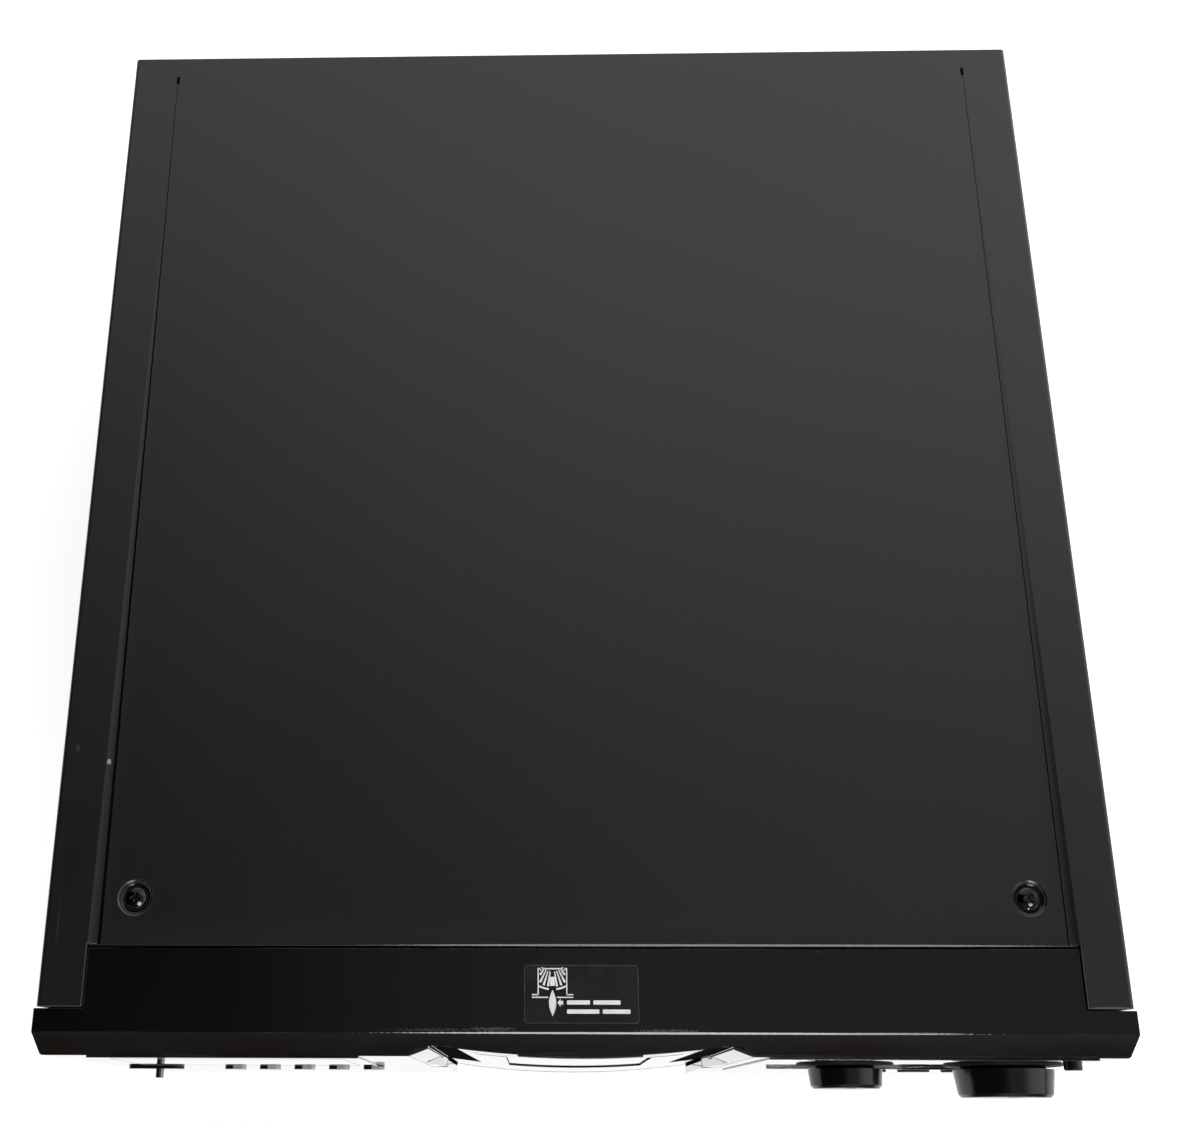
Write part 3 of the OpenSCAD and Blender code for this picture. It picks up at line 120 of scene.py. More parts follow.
def noiseAt(tree, spot, scale, detail=2.0):
    node = addNode(tree, "TexNoise")
    feed(node.inputs["Vector"], spot)
    feed(node.inputs["Scale"], scale)
    feed(node.inputs["Detail"], detail)
    return node.outputs[0]


def vectorStep(tree, operation, *terms):
    return addNode(tree, "VectorMath", *terms, operation=operation)


def axesOf(tree, vector):
    return addNode(tree, "SeparateXYZ", vector).outputs


def facing(tree):
    return addNode(tree, "NewGeometry").outputs["Normal"]


# rays that show a thing itself: from the camera, or on through clear plastic
def directRays(tree):
    ray = addNode(tree, "LightPath").outputs
    return ray, reckon(tree, "MAXIMUM", ray["Is Camera Ray"], ray["Is Transmission Ray"])


def newMaterial(name):
    material = bpy.data.materials.new(name)
    material.use_nodes = True
    return material, material.node_tree


def showMix(tree, share, first, second):
    both = addNode(tree, "MixShader", share, first, second)
    feed(tree.nodes["Material Output"].inputs["Surface"], both.outputs[0])


# node groups that several finishes share
def newEffect(name, given, made):
    tree = bpy.data.node_groups.new(name, "ShaderNodeTree")
    for label, value in given.items():
        kind = "NodeSocketVector" if isinstance(value, tuple) else "NodeSocketFloat"
        tree.interface.new_socket(label, in_out="INPUT", socket_type=kind).default_value = value
    for label in made:
        tree.interface.new_socket(label, in_out="OUTPUT", socket_type="NodeSocketFloat")
    inlet = tree.nodes.new("NodeGroupInput").outputs
    outlet = tree.nodes.new("NodeGroupOutput").inputs
    return tree, inlet, outlet, addNode(tree, "TexCoord").outputs["Object"]


def makePaintGrain():
    tree, inlet, outlet, spot = newEffect("paintGrain", {"Scale": 1500.0}, ["Grain", "Height"])
    fine = span(tree, noiseAt(tree, spot, inlet["Scale"]), 0.32, 0.68, 0.0, 1.0)
    beads = addNode(tree, "TexVoronoi")  # rounded beads under the fine grain
    feed(beads.inputs["Vector"], spot)
    feed(beads.inputs["Scale"], reckon(tree, "MULTIPLY", inlet["Scale"], 0.55))
    rounded = reckon(tree, "MULTIPLY", span(tree, beads.outputs["Distance"], 0.0, 0.8, 1.0, 0.0), 0.55)
    feed(outlet["Grain"], fine)
    feed(outlet["Height"], reckon(tree, "MULTIPLY_ADD", fine, 0.45, rounded))
    return tree


def makeToneCloud():
    tree, inlet, outlet, spot = newEffect("toneCloud", {"Scale": 8.0, "Low": 0.0, "High": 1.0}, ["Value"])
    cloud = noiseAt(tree, spot, inlet["Scale"], 4.0)
    feed(outlet["Value"], span(tree, cloud, 0.33, 0.67, inlet["Low"], inlet["High"]))
    return tree


def makeEdgeWear():
    given = {"Width": 0.0005, "Patch": 70.0, "Cover": 0.5}
    tree, inlet, outlet, spot = newEffect("edgeWear", given, ["Mask"])
    bent = addNode(tree, "Bevel", samples=6)
    feed(bent.inputs["Radius"], inlet["Width"])
    likeness = vectorStep(tree, "DOT_PRODUCT", bent.outputs["Normal"], facing(tree)).outputs["Value"]
    edge = span(tree, likeness, 0.997, 0.9, 0.0, 1.0)
    patches = noiseAt(tree, spot, inlet["Patch"], 3.0)
    least = reckon(tree, "SUBTRACT", 0.85, reckon(tree, "MULTIPLY", inlet["Cover"], 0.7))
    bare = span(tree, patches, least, reckon(tree, "ADD", least, 0.15), 0.0, 1.0)
    feed(outlet["Mask"], reckon(tree, "MULTIPLY", edge, bare))
    return tree


def makeHairlines():
    given = {"Scale": 90.0, "Angle": 0.3, "Cover": 0.4}
    tree, inlet, outlet, spot = newEffect("hairlines", given, ["Mask"])
    turn = addNode(tree, "VectorRotate", rotation_type="Z_AXIS")
    feed(turn.inputs["Vector"], spot)
    feed(turn.inputs["Angle"], inlet["Angle"])
    drawn = vectorStep(tree, "MULTIPLY", turn.outputs[0], (0.05, 1.0, 1.0)).outputs[0]
    ridge = reckon(tree, "SUBTRACT", noiseAt(tree, drawn, inlet["Scale"], 0.0), 0.5)
    line = span(tree, reckon(tree, "ABSOLUTE", ridge), 0.0, 0.006, 1.0, 0.0)
    least = reckon(tree, "SUBTRACT", 0.8, reckon(tree, "MULTIPLY", inlet["Cover"], 0.5))
    places = span(tree, noiseAt(tree, spot, 55.0, 3.0), least, reckon(tree, "ADD", least, 0.08), 0.0, 1.0)
    feed(outlet["Mask"], reckon(tree, "MULTIPLY", line, places))
    return tree


def makeDustSpecks():
    tree, inlet, outlet, spot = newEffect("dustSpecks", {"Scale": 260.0, "Cover": 0.3}, ["Mask"])
    specks = addNode(tree, "TexVoronoi")
    feed(specks.inputs["Vector"], spot)
    feed(specks.inputs["Scale"], inlet["Scale"])
    size = reckon(tree, "MULTIPLY", specks.outputs["Color"], reckon(tree, "MULTIPLY", inlet["Cover"], 0.22))
    grit = reckon(tree, "LESS_THAN", specks.outputs["Distance"], reckon(tree, "SUBTRACT", size, 0.02))
    level = span(tree, axesOf(tree, facing(tree))["Z"], 0.3, 0.9, 0.0, 1.0)  # dust lies where faces look up
    feed(outlet["Mask"], reckon(tree, "MULTIPLY", grit, level))
    return tree


def makeSpotMark():
    given = {"Centre": (0.0, 0.0, 0.0), "Reach": (0.01, 0.01, 0.01), "Ragged": 0.5}
    tree, inlet, outlet, spot = newEffect("spotMark", given, ["Mask"])
    away = vectorStep(tree, "SUBTRACT", spot, inlet["Centre"]).outputs[0]
    away = vectorStep(tree, "DIVIDE", away, inlet["Reach"]).outputs[0]
    far = vectorStep(tree, "LENGTH", away).outputs["Value"]
    rough = reckon(tree, "SUBTRACT", noiseAt(tree, spot, 900.0, 3.0), 0.5)
    far = reckon(tree, "ADD", far, reckon(tree, "MULTIPLY", rough, inlet["Ragged"]))
    feed(outlet["Mask"], span(tree, far, 0.7, 1.0, 1.0, 0.0))
    return tree


def makeDrawnLines():
    given = {"Scale": 900.0, "Stretch": (0.02, 1.0, 1.0)}
    tree, inlet, outlet, spot = newEffect("drawnLines", given, ["Grain"])
    drawn = vectorStep(tree, "MULTIPLY", spot, inlet["Stretch"]).outputs[0]
    feed(outlet["Grain"], span(tree, noiseAt(tree, drawn, inlet["Scale"], 3.0), 0.3, 0.7, 0.0, 1.0))
    return tree


def makeSpunRings():
    given = {"Centre": (0.0, 0.0, 0.0), "Scale": 2200.0}
    tree, inlet, outlet, spot = newEffect("spunRings", given, ["Height"])
    off = vectorStep(tree, "SUBTRACT", spot, inlet["Centre"]).outputs[0]
    off = vectorStep(tree, "MULTIPLY", off, (1.0, 0.0, 1.0)).outputs[0]
    far = addNode(tree, "CombineXYZ", vectorStep(tree, "LENGTH", off).outputs["Value"])
    feed(outlet["Height"], noiseAt(tree, far.outputs[0], inlet["Scale"], 2.0))
    return tree


def makeUprightMask():
    tree, inlet, outlet, _ = newEffect("uprightMask", {"Least": 0.1, "Most": 0.35}, ["Mask"])
    up = axesOf(tree, facing(tree))["Z"]
    feed(outlet["Mask"], span(tree, up, inlet["Least"], inlet["Most"], 1.0, 0.0))
    return tree


paintGrain = makePaintGrain()
toneCloud = makeToneCloud()
edgeWear = makeEdgeWear()
hairlines = makeHairlines()
dustSpecks = makeDustSpecks()
spotMark = makeSpotMark()
drawnLines = makeDrawnLines()
spunRings = makeSpunRings()
uprightMask = makeUprightMask()
print("effects ready")


def placeEffect(tree, effect, **values):
    node = addNode(tree, "Group", node_tree=effect)
    for key, value in values.items():
        feed(node.inputs[key], value)
    return node.outputs


# how far each effect reaches into tone and roughness
share = {"drawnRough": 0.16, "drawnTone": 0.35, "spunRough": 0.08, "hairRough": 0.25, "dustTone": 0.5,
         "dustRough": 0.3, "leastRough": 0.02}
dustHue = (0.22, 0.21, 0.2)
plain = {"ior": ("IOR", 1.5), "metal": ("Metallic", 0.0), "coat": ("Coat Weight", 0.0),
         "coatRough": ("Coat Roughness", 0.05)}


# one finish from its dictionary; what a finish leaves out is left out of its tree
finishes = {}


def makeFinish(name, look):
    finishes[name], tree = newMaterial(name)
    shade = tree.nodes["Principled BSDF"]
    for key, (label, usual) in plain.items():
        feed(shade.inputs[label], look.get(key, usual))
    if "frontCoat" in look:
        feed(shade.inputs["Coat Weight"], placeEffect(tree, uprightMask)["Mask"])
    cloud = placeEffect(tree, toneCloud, Scale=look["cloud"])["Value"]
    tone = mixTone(tree, cloud, *look["tones"])
    rough = span(tree, cloud, 0.0, 1.0, *look["rough"])
    height = None
    if "grain" in look:
        scale, depth, high = look["grain"]
        grain = placeEffect(tree, paintGrain, Scale=scale)
        tone = mixTone(tree, reckon(tree, "MULTIPLY", grain["Grain"], depth), tone, high)
        height = grain["Height"]
    if "drawn" in look:
        scale, stretch, line = look["drawn"]
        height = placeEffect(tree, drawnLines, Scale=scale, Stretch=stretch)["Grain"]
        rough = reckon(tree, "MULTIPLY_ADD", height, share["drawnRough"], rough)
        tone = mixTone(tree, reckon(tree, "MULTIPLY", height, share["drawnTone"]), tone, line)
    if "spun" in look:
        height = placeEffect(tree, spunRings, Centre=look["spun"])["Height"]
        rough = reckon(tree, "MULTIPLY_ADD", height, share["spunRough"], rough)
    if "hair" in look:
        scale, angle, cover, line, depth = look["hair"]
        scratch = placeEffect(tree, hairlines, Scale=scale, Angle=angle, Cover=cover)["Mask"]
        tone = mixTone(tree, reckon(tree, "MULTIPLY", scratch, depth), tone, line)
        rough = reckon(tree, "MULTIPLY_ADD", scratch, share["hairRough"], rough)
    if "wear" in look:
        width, patch, cover, bare = look["wear"]
        worn = placeEffect(tree, edgeWear, Width=width, Patch=patch, Cover=cover)["Mask"]
        tone = mixTone(tree, worn, tone, bare)
        rough = reckon(tree, "MULTIPLY_ADD", worn, look.get("wearRough", -0.05), rough)
    if "dust" in look:
        scale, cover = look["dust"]
        specks = placeEffect(tree, dustSpecks, Scale=scale, Cover=cover)["Mask"]
        tone = mixTone(tree, reckon(tree, "MULTIPLY", specks, share["dustTone"]), tone, dustHue)
        rough = reckon(tree, "MULTIPLY_ADD", specks, share["dustRough"], rough)
    for mark in look.get("marks", []):
        place = {"Centre": mark["centre"], "Reach": mark["reach"], "Ragged": mark["ragged"]}
        spot = placeEffect(tree, spotMark, **place)["Mask"]
        tone = mixTone(tree, reckon(tree, "MULTIPLY", spot, mark["depth"]), tone, mark["tone"])
        if "polish" in mark:
            rough = reckon(tree, "MULTIPLY_ADD", spot, mark["polish"], rough)
    feed(shade.inputs["Base Color"], tone)
    feed(shade.inputs["Roughness"], reckon(tree, "MAXIMUM", rough, share["leastRough"]))
    if height is not None:
        bump = addNode(tree, "Bump")
        strength, depth = look.get("bump", (0.3, 0.00005))
        feed(bump.inputs["Strength"], strength)
        feed(bump.inputs["Distance"], depth)
        feed(bump.inputs["Height"], height)
        feed(shade.inputs["Normal"], bump.outputs["Normal"])


def grey(level):
    return (level, level, level)


# textured satin paint of the steel cover, its few marks of use, and some painted highlights and shade;
# their places are across, behind the shelf's front edge and up, in mm
def markAt(x, back, z, reach, ragged, depth, tone):
    centre = (x * mm, (edgeY + back) * mm, z * mm)
    reach = tuple(r * mm for r in reach)
    return {"centre": centre, "reach": reach, "ragged": ragged, "depth": depth, "tone": tone}


coverMarksAndPaintedLight = [
    markAt(-194.1, 106.7, coverZ, (0.9, 1.3, 4.0), 0.8, 0.8, (0.26, 0.26, 0.25)),  # nick: its lit side as a painted highlight
    markAt(-192.9, 107.9, coverZ, (0.8, 1.1, 4.0), 0.8, 0.9, grey(0.001)),  # and its shaded side as painted shade
    markAt(-205.9, 64.3, coverZ, (3.2, 9.0, 4.0), 3.4, 0.7, grey(0.0006)),  # scuff
    markAt(-208.4, 42.0, coverZ, (0.25, 14.0, 4.0), 0.8, 0.3, grey(0.05)),  # scratch in front of it
    markAt(-207.7, 112.4, coverZ, (0.9, 1.3, 4.0), 1.6, 0.5, grey(0.05)),
    markAt(55.0, 33.2, coverZ - 1.9, (150.0, 0.55, 1.4), 0.3, 0.9, (0.26, 0.265, 0.27)),  # painted highlight along the centre panel's front lip
    markAt(205.0, 9.7, coverZ, (10.0, 0.6, 1.2), 0.4, 0.8, grey(0.09)),  # painted highlight on the front edge of a rail
]
# the press left the two screw dimples smooth; no tone, only polish
dimple = {"x": 178.7, "back": 51.5, "drop": 2.0, "reach": (8.0, 8.0, 6.0), "polish": -0.24}
for side in (-1, 1):
    spot = (side * dimple["x"], dimple["back"], coverZ - dimple["drop"])
    coverMarksAndPaintedLight.append(markAt(*spot, dimple["reach"], 0.0, 0.0, grey(0.003)))
    coverMarksAndPaintedLight[-1]["polish"] = dimple["polish"]
makeFinish("coverPaint", {
    "tones": ((0.0027, 0.0027, 0.0025), (0.0036, 0.0034, 0.0032)), "cloud": 6.0, "rough": (0.36, 0.385),
    "grain": (2100.0, 0.35, (0.0085, 0.0084, 0.008)), "bump": (0.22, 0.00006),
    # the cover's edge wear is partly bare edges, partly painted highlight along its bends and lips
    "wear": (0.0005, 30.0, 0.8, (0.13, 0.13, 0.127)), "dust": (130.0, 0.2), "marks": coverMarksAndPaintedLight})

makeFinish("rearPaint", {
    "tones": (grey(0.016), grey(0.022)), "cloud": 12.0, "rough": (0.42, 0.52),
    "grain": (1900.0, 0.3, grey(0.04)), "bump": (0.25, 0.00006), "wear": (0.0005, 60.0, 0.3, grey(0.2))})

# polished moulding of the front, with a painted highlight along the middle of the shelf's edge and a few worn
# spots behind it
shelfHighlightAndWear = [
    # painted highlight: a pale line along the middle of the shelf's edge
    markAt(38.0, 0.05, shelfZ, (125.0, 0.5, 0.5), 0.5, 0.95, (0.62, 0.62, 0.6)),
    # worn spots just behind the edge
    markAt(-34.0, 1.5, shelfZ, (9.0, 0.8, 1.0), 2.6, 0.35, (0.12, 0.12, 0.118)),
    markAt(-58.0, 1.2, shelfZ, (18.0, 0.5, 1.0), 2.6, 0.25, (0.09, 0.09, 0.088)),
    markAt(34.0, 0.9, shelfZ, (13.0, 0.6, 1.0), 2.6, 0.4, (0.12, 0.12, 0.118)),
    # painted highlight: a brighter stretch of the edge line to the right
    markAt(122.0, 0.3, shelfZ, (30.0, 0.3, 0.6), 0.9, 0.6, (0.3, 0.3, 0.29)),
]
makeFinish("frontGloss", {
    "tones": ((0.0022, 0.0022, 0.0021), (0.0032, 0.0031, 0.003)), "cloud": 14.0, "frontCoat": True,
    "coatRough": 0.02, "rough": (0.07, 0.11), "hair": (70.0, 0.12, 0.3, grey(0.05), 0.12),
    "wear": (0.0004, 35.0, 0.55, (0.05, 0.05, 0.049)), "wearRough": 0.1, "dust": (95.0, 0.2),
    "marks": shelfHighlightAndWear})

makeFinish("doorGloss", {
    "tones": ((0.0026, 0.0026, 0.0027), grey(0.0036)), "cloud": 18.0, "coat": 1.0, "coatRough": 0.02,
    "rough": (0.06, 0.1), "hair": (120.0, 1.35, 0.2, grey(0.03), 0.2),
    "wear": (0.0005, 50.0, 0.45, grey(0.07))})

makeFinish("keySatin", {
    "tones": ((0.005, 0.005, 0.0052), grey(0.008)), "cloud": 60.0, "rough": (0.14, 0.2),
    "grain": (3800.0, 0.25, grey(0.016)), "bump": (0.14, 0.00003),
    "wear": (0.0004, 130.0, 0.4, grey(0.06))})

# dials: smooth flanks, spun faces
dialLook = {
    "tones": ((0.0028, 0.0028, 0.0029), grey(0.0042)), "cloud": 40.0, "rough": (0.1, 0.15),
    "bump": (0.1, 0.00002), "wear": (0.0004, 90.0, 0.4, grey(0.04))}
for name in ("small_dial", "large_dial"):
    low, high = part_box(name)
    makeFinish(name.replace("_d", "D") + "Finish", {**dialLook, "spun": tuple((low + high) / 2)})

# pale half of a mode key: a painted reflection of the white table in front
makeFinish("keyPaleReflection", {
    "tones": ((0.44, 0.44, 0.42), (0.6, 0.6, 0.57)), "cloud": 420.0, "rough": (0.2, 0.32),
    "grain": (3400.0, 0.3, (0.72, 0.72, 0.7)), "bump": (0.12, 0.00003),
    "wear": (0.0003, 300.0, 0.4, (0.2, 0.2, 0.19))})

makeFinish("ringBlack", {
    "tones": (grey(0.004), grey(0.006)), "cloud": 60.0, "ior": 1.25, "rough": (0.5, 0.6),
    "grain": (3600.0, 0.2, grey(0.01)), "bump": (0.08, 0.00002)})

screwGlints = [  # painted glints: a pale metal spot at a corner of each recess, where the glint falls
    markAt(-176.8, 49.2, coverZ - 1.0, (0.95, 0.95, 4.0), 0.2, 1.0, (0.95, 0.94, 0.9)),
    markAt(178.9, 49.1, coverZ - 1.0, (0.9, 0.8, 4.0), 0.2, 1.0, (0.95, 0.94, 0.9)),
]
makeFinish("screwBlack", {
    "tones": ((0.012, 0.011, 0.01), (0.036, 0.032, 0.027)), "cloud": 260.0, "metal": 1.0,
    "rough": (0.1, 0.2), "wear": (0.0003, 500.0, 0.8, (0.5, 0.47, 0.42)), "wearRough": -0.06,
    "marks": screwGlints})

# painted shade: matt black for the shaded recess beside the wings
makeFinish("recessShadeMatt", {
    "tones": ((0.004, 0.004, 0.005), (0.008, 0.008, 0.009)), "cloud": 90.0, "ior": 1.0,
    "rough": (0.85, 0.95), "grain": (2400.0, 0.3, (0.014, 0.014, 0.015))})

# painted shade: near black for the shaded creases at the feet of the cover's steps
makeFinish("creaseShade", {
    "tones": (grey(0.0003), grey(0.0008)), "cloud": 300.0, "ior": 1.12, "rough": (0.75, 0.9),
    "grain": (2600.0, 0.2, grey(0.002))})

makeFinish("footPlastic", {
    "tones": ((0.016, 0.016, 0.0165), grey(0.024)), "cloud": 40.0, "rough": (0.42, 0.55),
    "grain": (1400.0, 0.3, grey(0.04)), "bump": (0.3, 0.00008), "wear": (0.0006, 80.0, 0.3, grey(0.06))})

makeFinish("padRubber", {
    "tones": ((0.028, 0.027, 0.026), (0.045, 0.043, 0.04)), "cloud": 70.0, "rough": (0.7, 0.85),
    "grain": (1100.0, 0.4, (0.08, 0.077, 0.07)), "bump": (0.5, 0.0001)})

makeFinish("zincSteel", {
    "tones": ((0.52, 0.53, 0.54), (0.64, 0.64, 0.63)), "cloud": 26.0, "metal": 1.0, "rough": (0.26, 0.36),
    "drawn": (1400.0, (0.03, 1.0, 1.0), grey(0.42)), "bump": (0.08, 0.00003)})

makeFinish("turnedBrass", {
    "tones": ((0.56, 0.4, 0.17), (0.68, 0.51, 0.24)), "cloud": 60.0, "metal": 1.0, "rough": (0.2, 0.3),
    "drawn": (2600.0, (1.0, 0.05, 1.0), (0.42, 0.29, 0.12)), "bump": (0.08, 0.00002)})

makeFinish("gearIvory", {
    "tones": ((0.66, 0.63, 0.55), (0.74, 0.71, 0.63)), "cloud": 30.0, "rough": (0.32, 0.42),
    "grain": (2400.0, 0.15, (0.8, 0.78, 0.71)), "bump": (0.1, 0.00003)})

makeFinish("mechBlack", {
    "tones": ((0.017, 0.017, 0.0175), grey(0.026)), "cloud": 24.0, "rough": (0.4, 0.52),
    "grain": (1600.0, 0.3, grey(0.045)), "bump": (0.25, 0.00006)})

makeFinish("beltRubber", {
    "tones": (grey(0.014), (0.022, 0.022, 0.021)), "cloud": 90.0, "rough": (0.55, 0.7),
    "grain": (2600.0, 0.3, grey(0.04)), "bump": (0.3, 0.00005)})

makeFinish("boardGreen", {
    "tones": ((0.035, 0.12, 0.06), (0.055, 0.17, 0.08)), "cloud": 45.0, "coat": 0.4, "rough": (0.3, 0.4),
    "drawn": (420.0, (0.15, 1.0, 1.0), (0.09, 0.22, 0.1)), "bump": (0.1, 0.00004)})

makeFinish("coreIron", {
    "tones": ((0.12, 0.1, 0.07), (0.2, 0.16, 0.1)), "cloud": 50.0, "metal": 0.4, "rough": (0.45, 0.6),
    "drawn": (2000.0, (1.0, 0.03, 0.03), (0.06, 0.05, 0.04)), "bump": (0.3, 0.00008)})

makeFinish("jackPlastic", {
    "tones": (grey(0.015), grey(0.022)), "cloud": 60.0, "rough": (0.3, 0.4),
    "grain": (2600.0, 0.25, grey(0.035)), "bump": (0.15, 0.00004),
    "wear": (0.0003, 140.0, 0.3, grey(0.05))})

makeFinish("displayCell", {
    "tones": ((0.006, 0.016, 0.017), (0.009, 0.022, 0.022)), "cloud": 35.0, "rough": (0.12, 0.2),
    "grain": (2800.0, 0.2, (0.015, 0.035, 0.035)), "bump": (0.05, 0.00002)})

makeFinish("greyInk", {
    "tones": ((0.46, 0.46, 0.45), (0.56, 0.56, 0.54)), "cloud": 160.0, "rough": (0.45, 0.55),
    "grain": (4200.0, 0.3, (0.64, 0.64, 0.62))})

makeFinish("paleInk", {
    "tones": ((0.7, 0.7, 0.68), (0.8, 0.8, 0.78)), "cloud": 160.0, "rough": (0.4, 0.5),
    "grain": (4200.0, 0.3, (0.86, 0.86, 0.84))})

makeFinish("dimInk", {
    "tones": ((0.045, 0.045, 0.044), (0.075, 0.075, 0.073)), "cloud": 220.0, "rough": (0.3, 0.4),
    "grain": (4200.0, 0.3, grey(0.1))})

makeFinish("ghostInk", {
    "tones": ((0.03, 0.075, 0.072), (0.045, 0.1, 0.095)), "cloud": 120.0, "rough": (0.35, 0.45),
    "grain": (3600.0, 0.3, (0.06, 0.13, 0.12))})

makeFinish("cardBlack", {
    "tones": (grey(0.0045), (0.0065, 0.0065, 0.0063)), "cloud": 90.0, "rough": (0.24, 0.32),
    "hair": (160.0, 0.9, 0.35, grey(0.05), 0.6), "wear": (0.0003, 200.0, 0.5, grey(0.08))})

makeFinish("platedTin", {
    "tones": ((0.66, 0.65, 0.62), (0.76, 0.75, 0.72)), "cloud": 180.0, "metal": 1.0, "rough": (0.16, 0.26),
    "drawn": (3600.0, (1.0, 0.06, 1.0), (0.5, 0.49, 0.46))})

makeFinish("redInsert", {
    "tones": ((0.42, 0.018, 0.016), (0.5, 0.026, 0.022)), "cloud": 120.0, "rough": (0.3, 0.4),
    "grain": (2600.0, 0.2, (0.58, 0.05, 0.045))})

makeFinish("whiteInsert", {
    "tones": ((0.66, 0.65, 0.62), (0.74, 0.73, 0.7)), "cloud": 120.0, "rough": (0.3, 0.4),
    "grain": (2600.0, 0.2, (0.8, 0.79, 0.77))})


# smoked clear plastic of the lenses and the door window; light passes on to the display behind
smoke = {"tint": (0.2, 0.205, 0.215), "darker": 0.85, "smear": (0.012, 0.03), "cloud": 22.0, "ior": 1.49,
         "coatRough": 0.015, "hair": (110.0, 0.7, 0.15), "hairRough": 0.06, "shadowTint": (0.25, 0.25, 0.26)}


def makeSmokeLens():
    finishes["smokeLens"], tree = newMaterial("smokeLens")
    shade = tree.nodes["Principled BSDF"]
    feed(shade.inputs["IOR"], smoke["ior"])
    feed(shade.inputs["Transmission Weight"], 1.0)
    feed(shade.inputs["Coat Weight"], 1.0)
    feed(shade.inputs["Coat Roughness"], smoke["coatRough"])
    cloud = placeEffect(tree, toneCloud, Scale=smoke["cloud"])["Value"]
    scale, angle, cover = smoke["hair"]
    scratch = placeEffect(tree, hairlines, Scale=scale, Angle=angle, Cover=cover)["Mask"]
    darker = tuple(c * smoke["darker"] for c in smoke["tint"])
    feed(shade.inputs["Base Color"], mixTone(tree, cloud, smoke["tint"], darker))
    smear = span(tree, cloud, 0.0, 1.0, *smoke["smear"])
    feed(shade.inputs["Roughness"], reckon(tree, "MULTIPLY_ADD", scratch, smoke["hairRough"], smear))
    clear = addNode(tree, "BsdfTransparent", smoke["shadowTint"])
    shadow = addNode(tree, "LightPath").outputs["Is Shadow Ray"]
    showMix(tree, shadow, shade.outputs[0], clear.outputs[0])


makeSmokeLens()
print("finishes ready:", len(bpy.data.materials))


# which solid takes which finish
modeButtons = ["mode_button_%d" % i for i in range(1, 6)]
dressing = {
    "coverPaint": ["top_cover"],
    "rearPaint": ["rear_panel"],
    "frontGloss": ["front_panel"],
    "doorGloss": ["front_door", "door_wings", "open_button"],
    "smokeLens": ["left_lens", "right_lens", "door_window"],
    "keySatin": ["power_button", "play_button", "pause_button", "stop_button", "round_button"] + modeButtons,
    "smallDialFinish": ["small_dial"],
    "largeDialFinish": ["large_dial"],
    "ringBlack": ["dial_rings", "dial_shaft"],
    "screwBlack": ["cover_screws"],
    "footPlastic": ["feet"],
    "padRubber": ["foot_pads"],
    "zincSteel": ["chassis", "front_stay", "hinge_rod", "dial_encoders", "door_motor", "table_motor",
                  "guide_rods", "spindle_motor", "clamp_arm"],
    "turnedBrass": ["motor_pulley", "sled_screw", "load_pinion"],
    "gearIvory": ["door_sector", "door_pinion", "carousel_gear", "carousel_track", "drive_gear",
                  "spindle_hub", "load_slider"],
    "mechBlack": ["carousel_tray", "inner_comb", "outer_comb", "mech_frame", "base_unit", "pickup",
                  "clamp_puck"],
    "beltRubber": ["table_belt"],
    "boardGreen": ["left_board", "right_board", "main_board"],
    "coreIron": ["transformer"],
    "jackPlastic": ["rear_jacks", "mains_inlet"],
    "displayCell": ["display_module"],
}

# the solids that show, by the width of their softened edge in mm
softEdge = {
    0.1: ["dial_rings"],
    0.15: ["door_window", "cover_screws", "rear_panel", "rear_jacks"],
    0.2: ["round_button", "chassis", "load_slider"],
    0.25: ["top_cover", "left_lens", "right_lens", "mains_inlet"],
    0.3: ["front_door", "door_wings", "mech_frame", "spindle_motor", "carousel_tray"],
    0.35: ["small_dial", "large_dial"] + modeButtons,
    0.4: ["front_panel", "open_button", "power_button", "play_button", "pause_button", "stop_button",
          "foot_pads"],
    0.5: ["feet"],
}
edgeWork = {"weld": 0.00001, "angle": 32, "weight": 60}


def soften(piece, width, angle=30):
    soft = piece.modifiers.new("softEdge", "BEVEL")
    soft.width = width * mm
    soft.segments = 2
    soft.limit_method = "ANGLE"
    soft.angle_limit = math.radians(angle)


def dressSolids():
    for look, names in dressing.items():
        for name in names:
            solid = nodes[name]
            if not solid.material_slots:
                solid.data.materials.append(finishes[look])
            for place in solid.material_slots:
                place.material = finishes[look]
    for width, names in softEdge.items():
        for name in names:
            seams = nodes[name].modifiers.new("seams", "WELD")
            seams.merge_threshold = edgeWork["weld"]
            soften(nodes[name], width, edgeWork["angle"])
            even = nodes[name].modifiers.new("evenNormals", "WEIGHTED_NORMAL")
            even.mode = "FACE_AREA"
            even.weight = edgeWork["weight"]


dressSolids()
left = [name for name in nodes if not any(name in names for names in dressing.values())]
print("solids dressed, left over:", left)


# places to draw on: across, up and out of each face, in mm
def facePlace(origin, across, up, out):
    place = Matrix.Identity(4)
    for column, axis in enumerate((across, up, out)):
        for row in range(3):
            place[row][column] = axis[row] * mm
    for row in range(3):
        place[row][3] = origin[row] * mm
    return place


frontPlace = facePlace((0, faceY, faceZ), (1, 0, 0), (0, leanSin, leanCos), (0, -leanCos, leanSin))
shelfPlace = facePlace((0, edgeY, shelfZ), (1, 0, 0), (0, 1, 0), (0, 0, 1))
rearPlace = facePlace((0, rearY, 0), (-1, 0, 0), (0, 0, 1), (0, 1, 0))


# middle of a key or dial, across and up on the front
def spotOn(name):
    low, high = boxOf(name)
    middle = (low + high) / 2
    return middle.x, (middle.z - faceZ) / leanCos


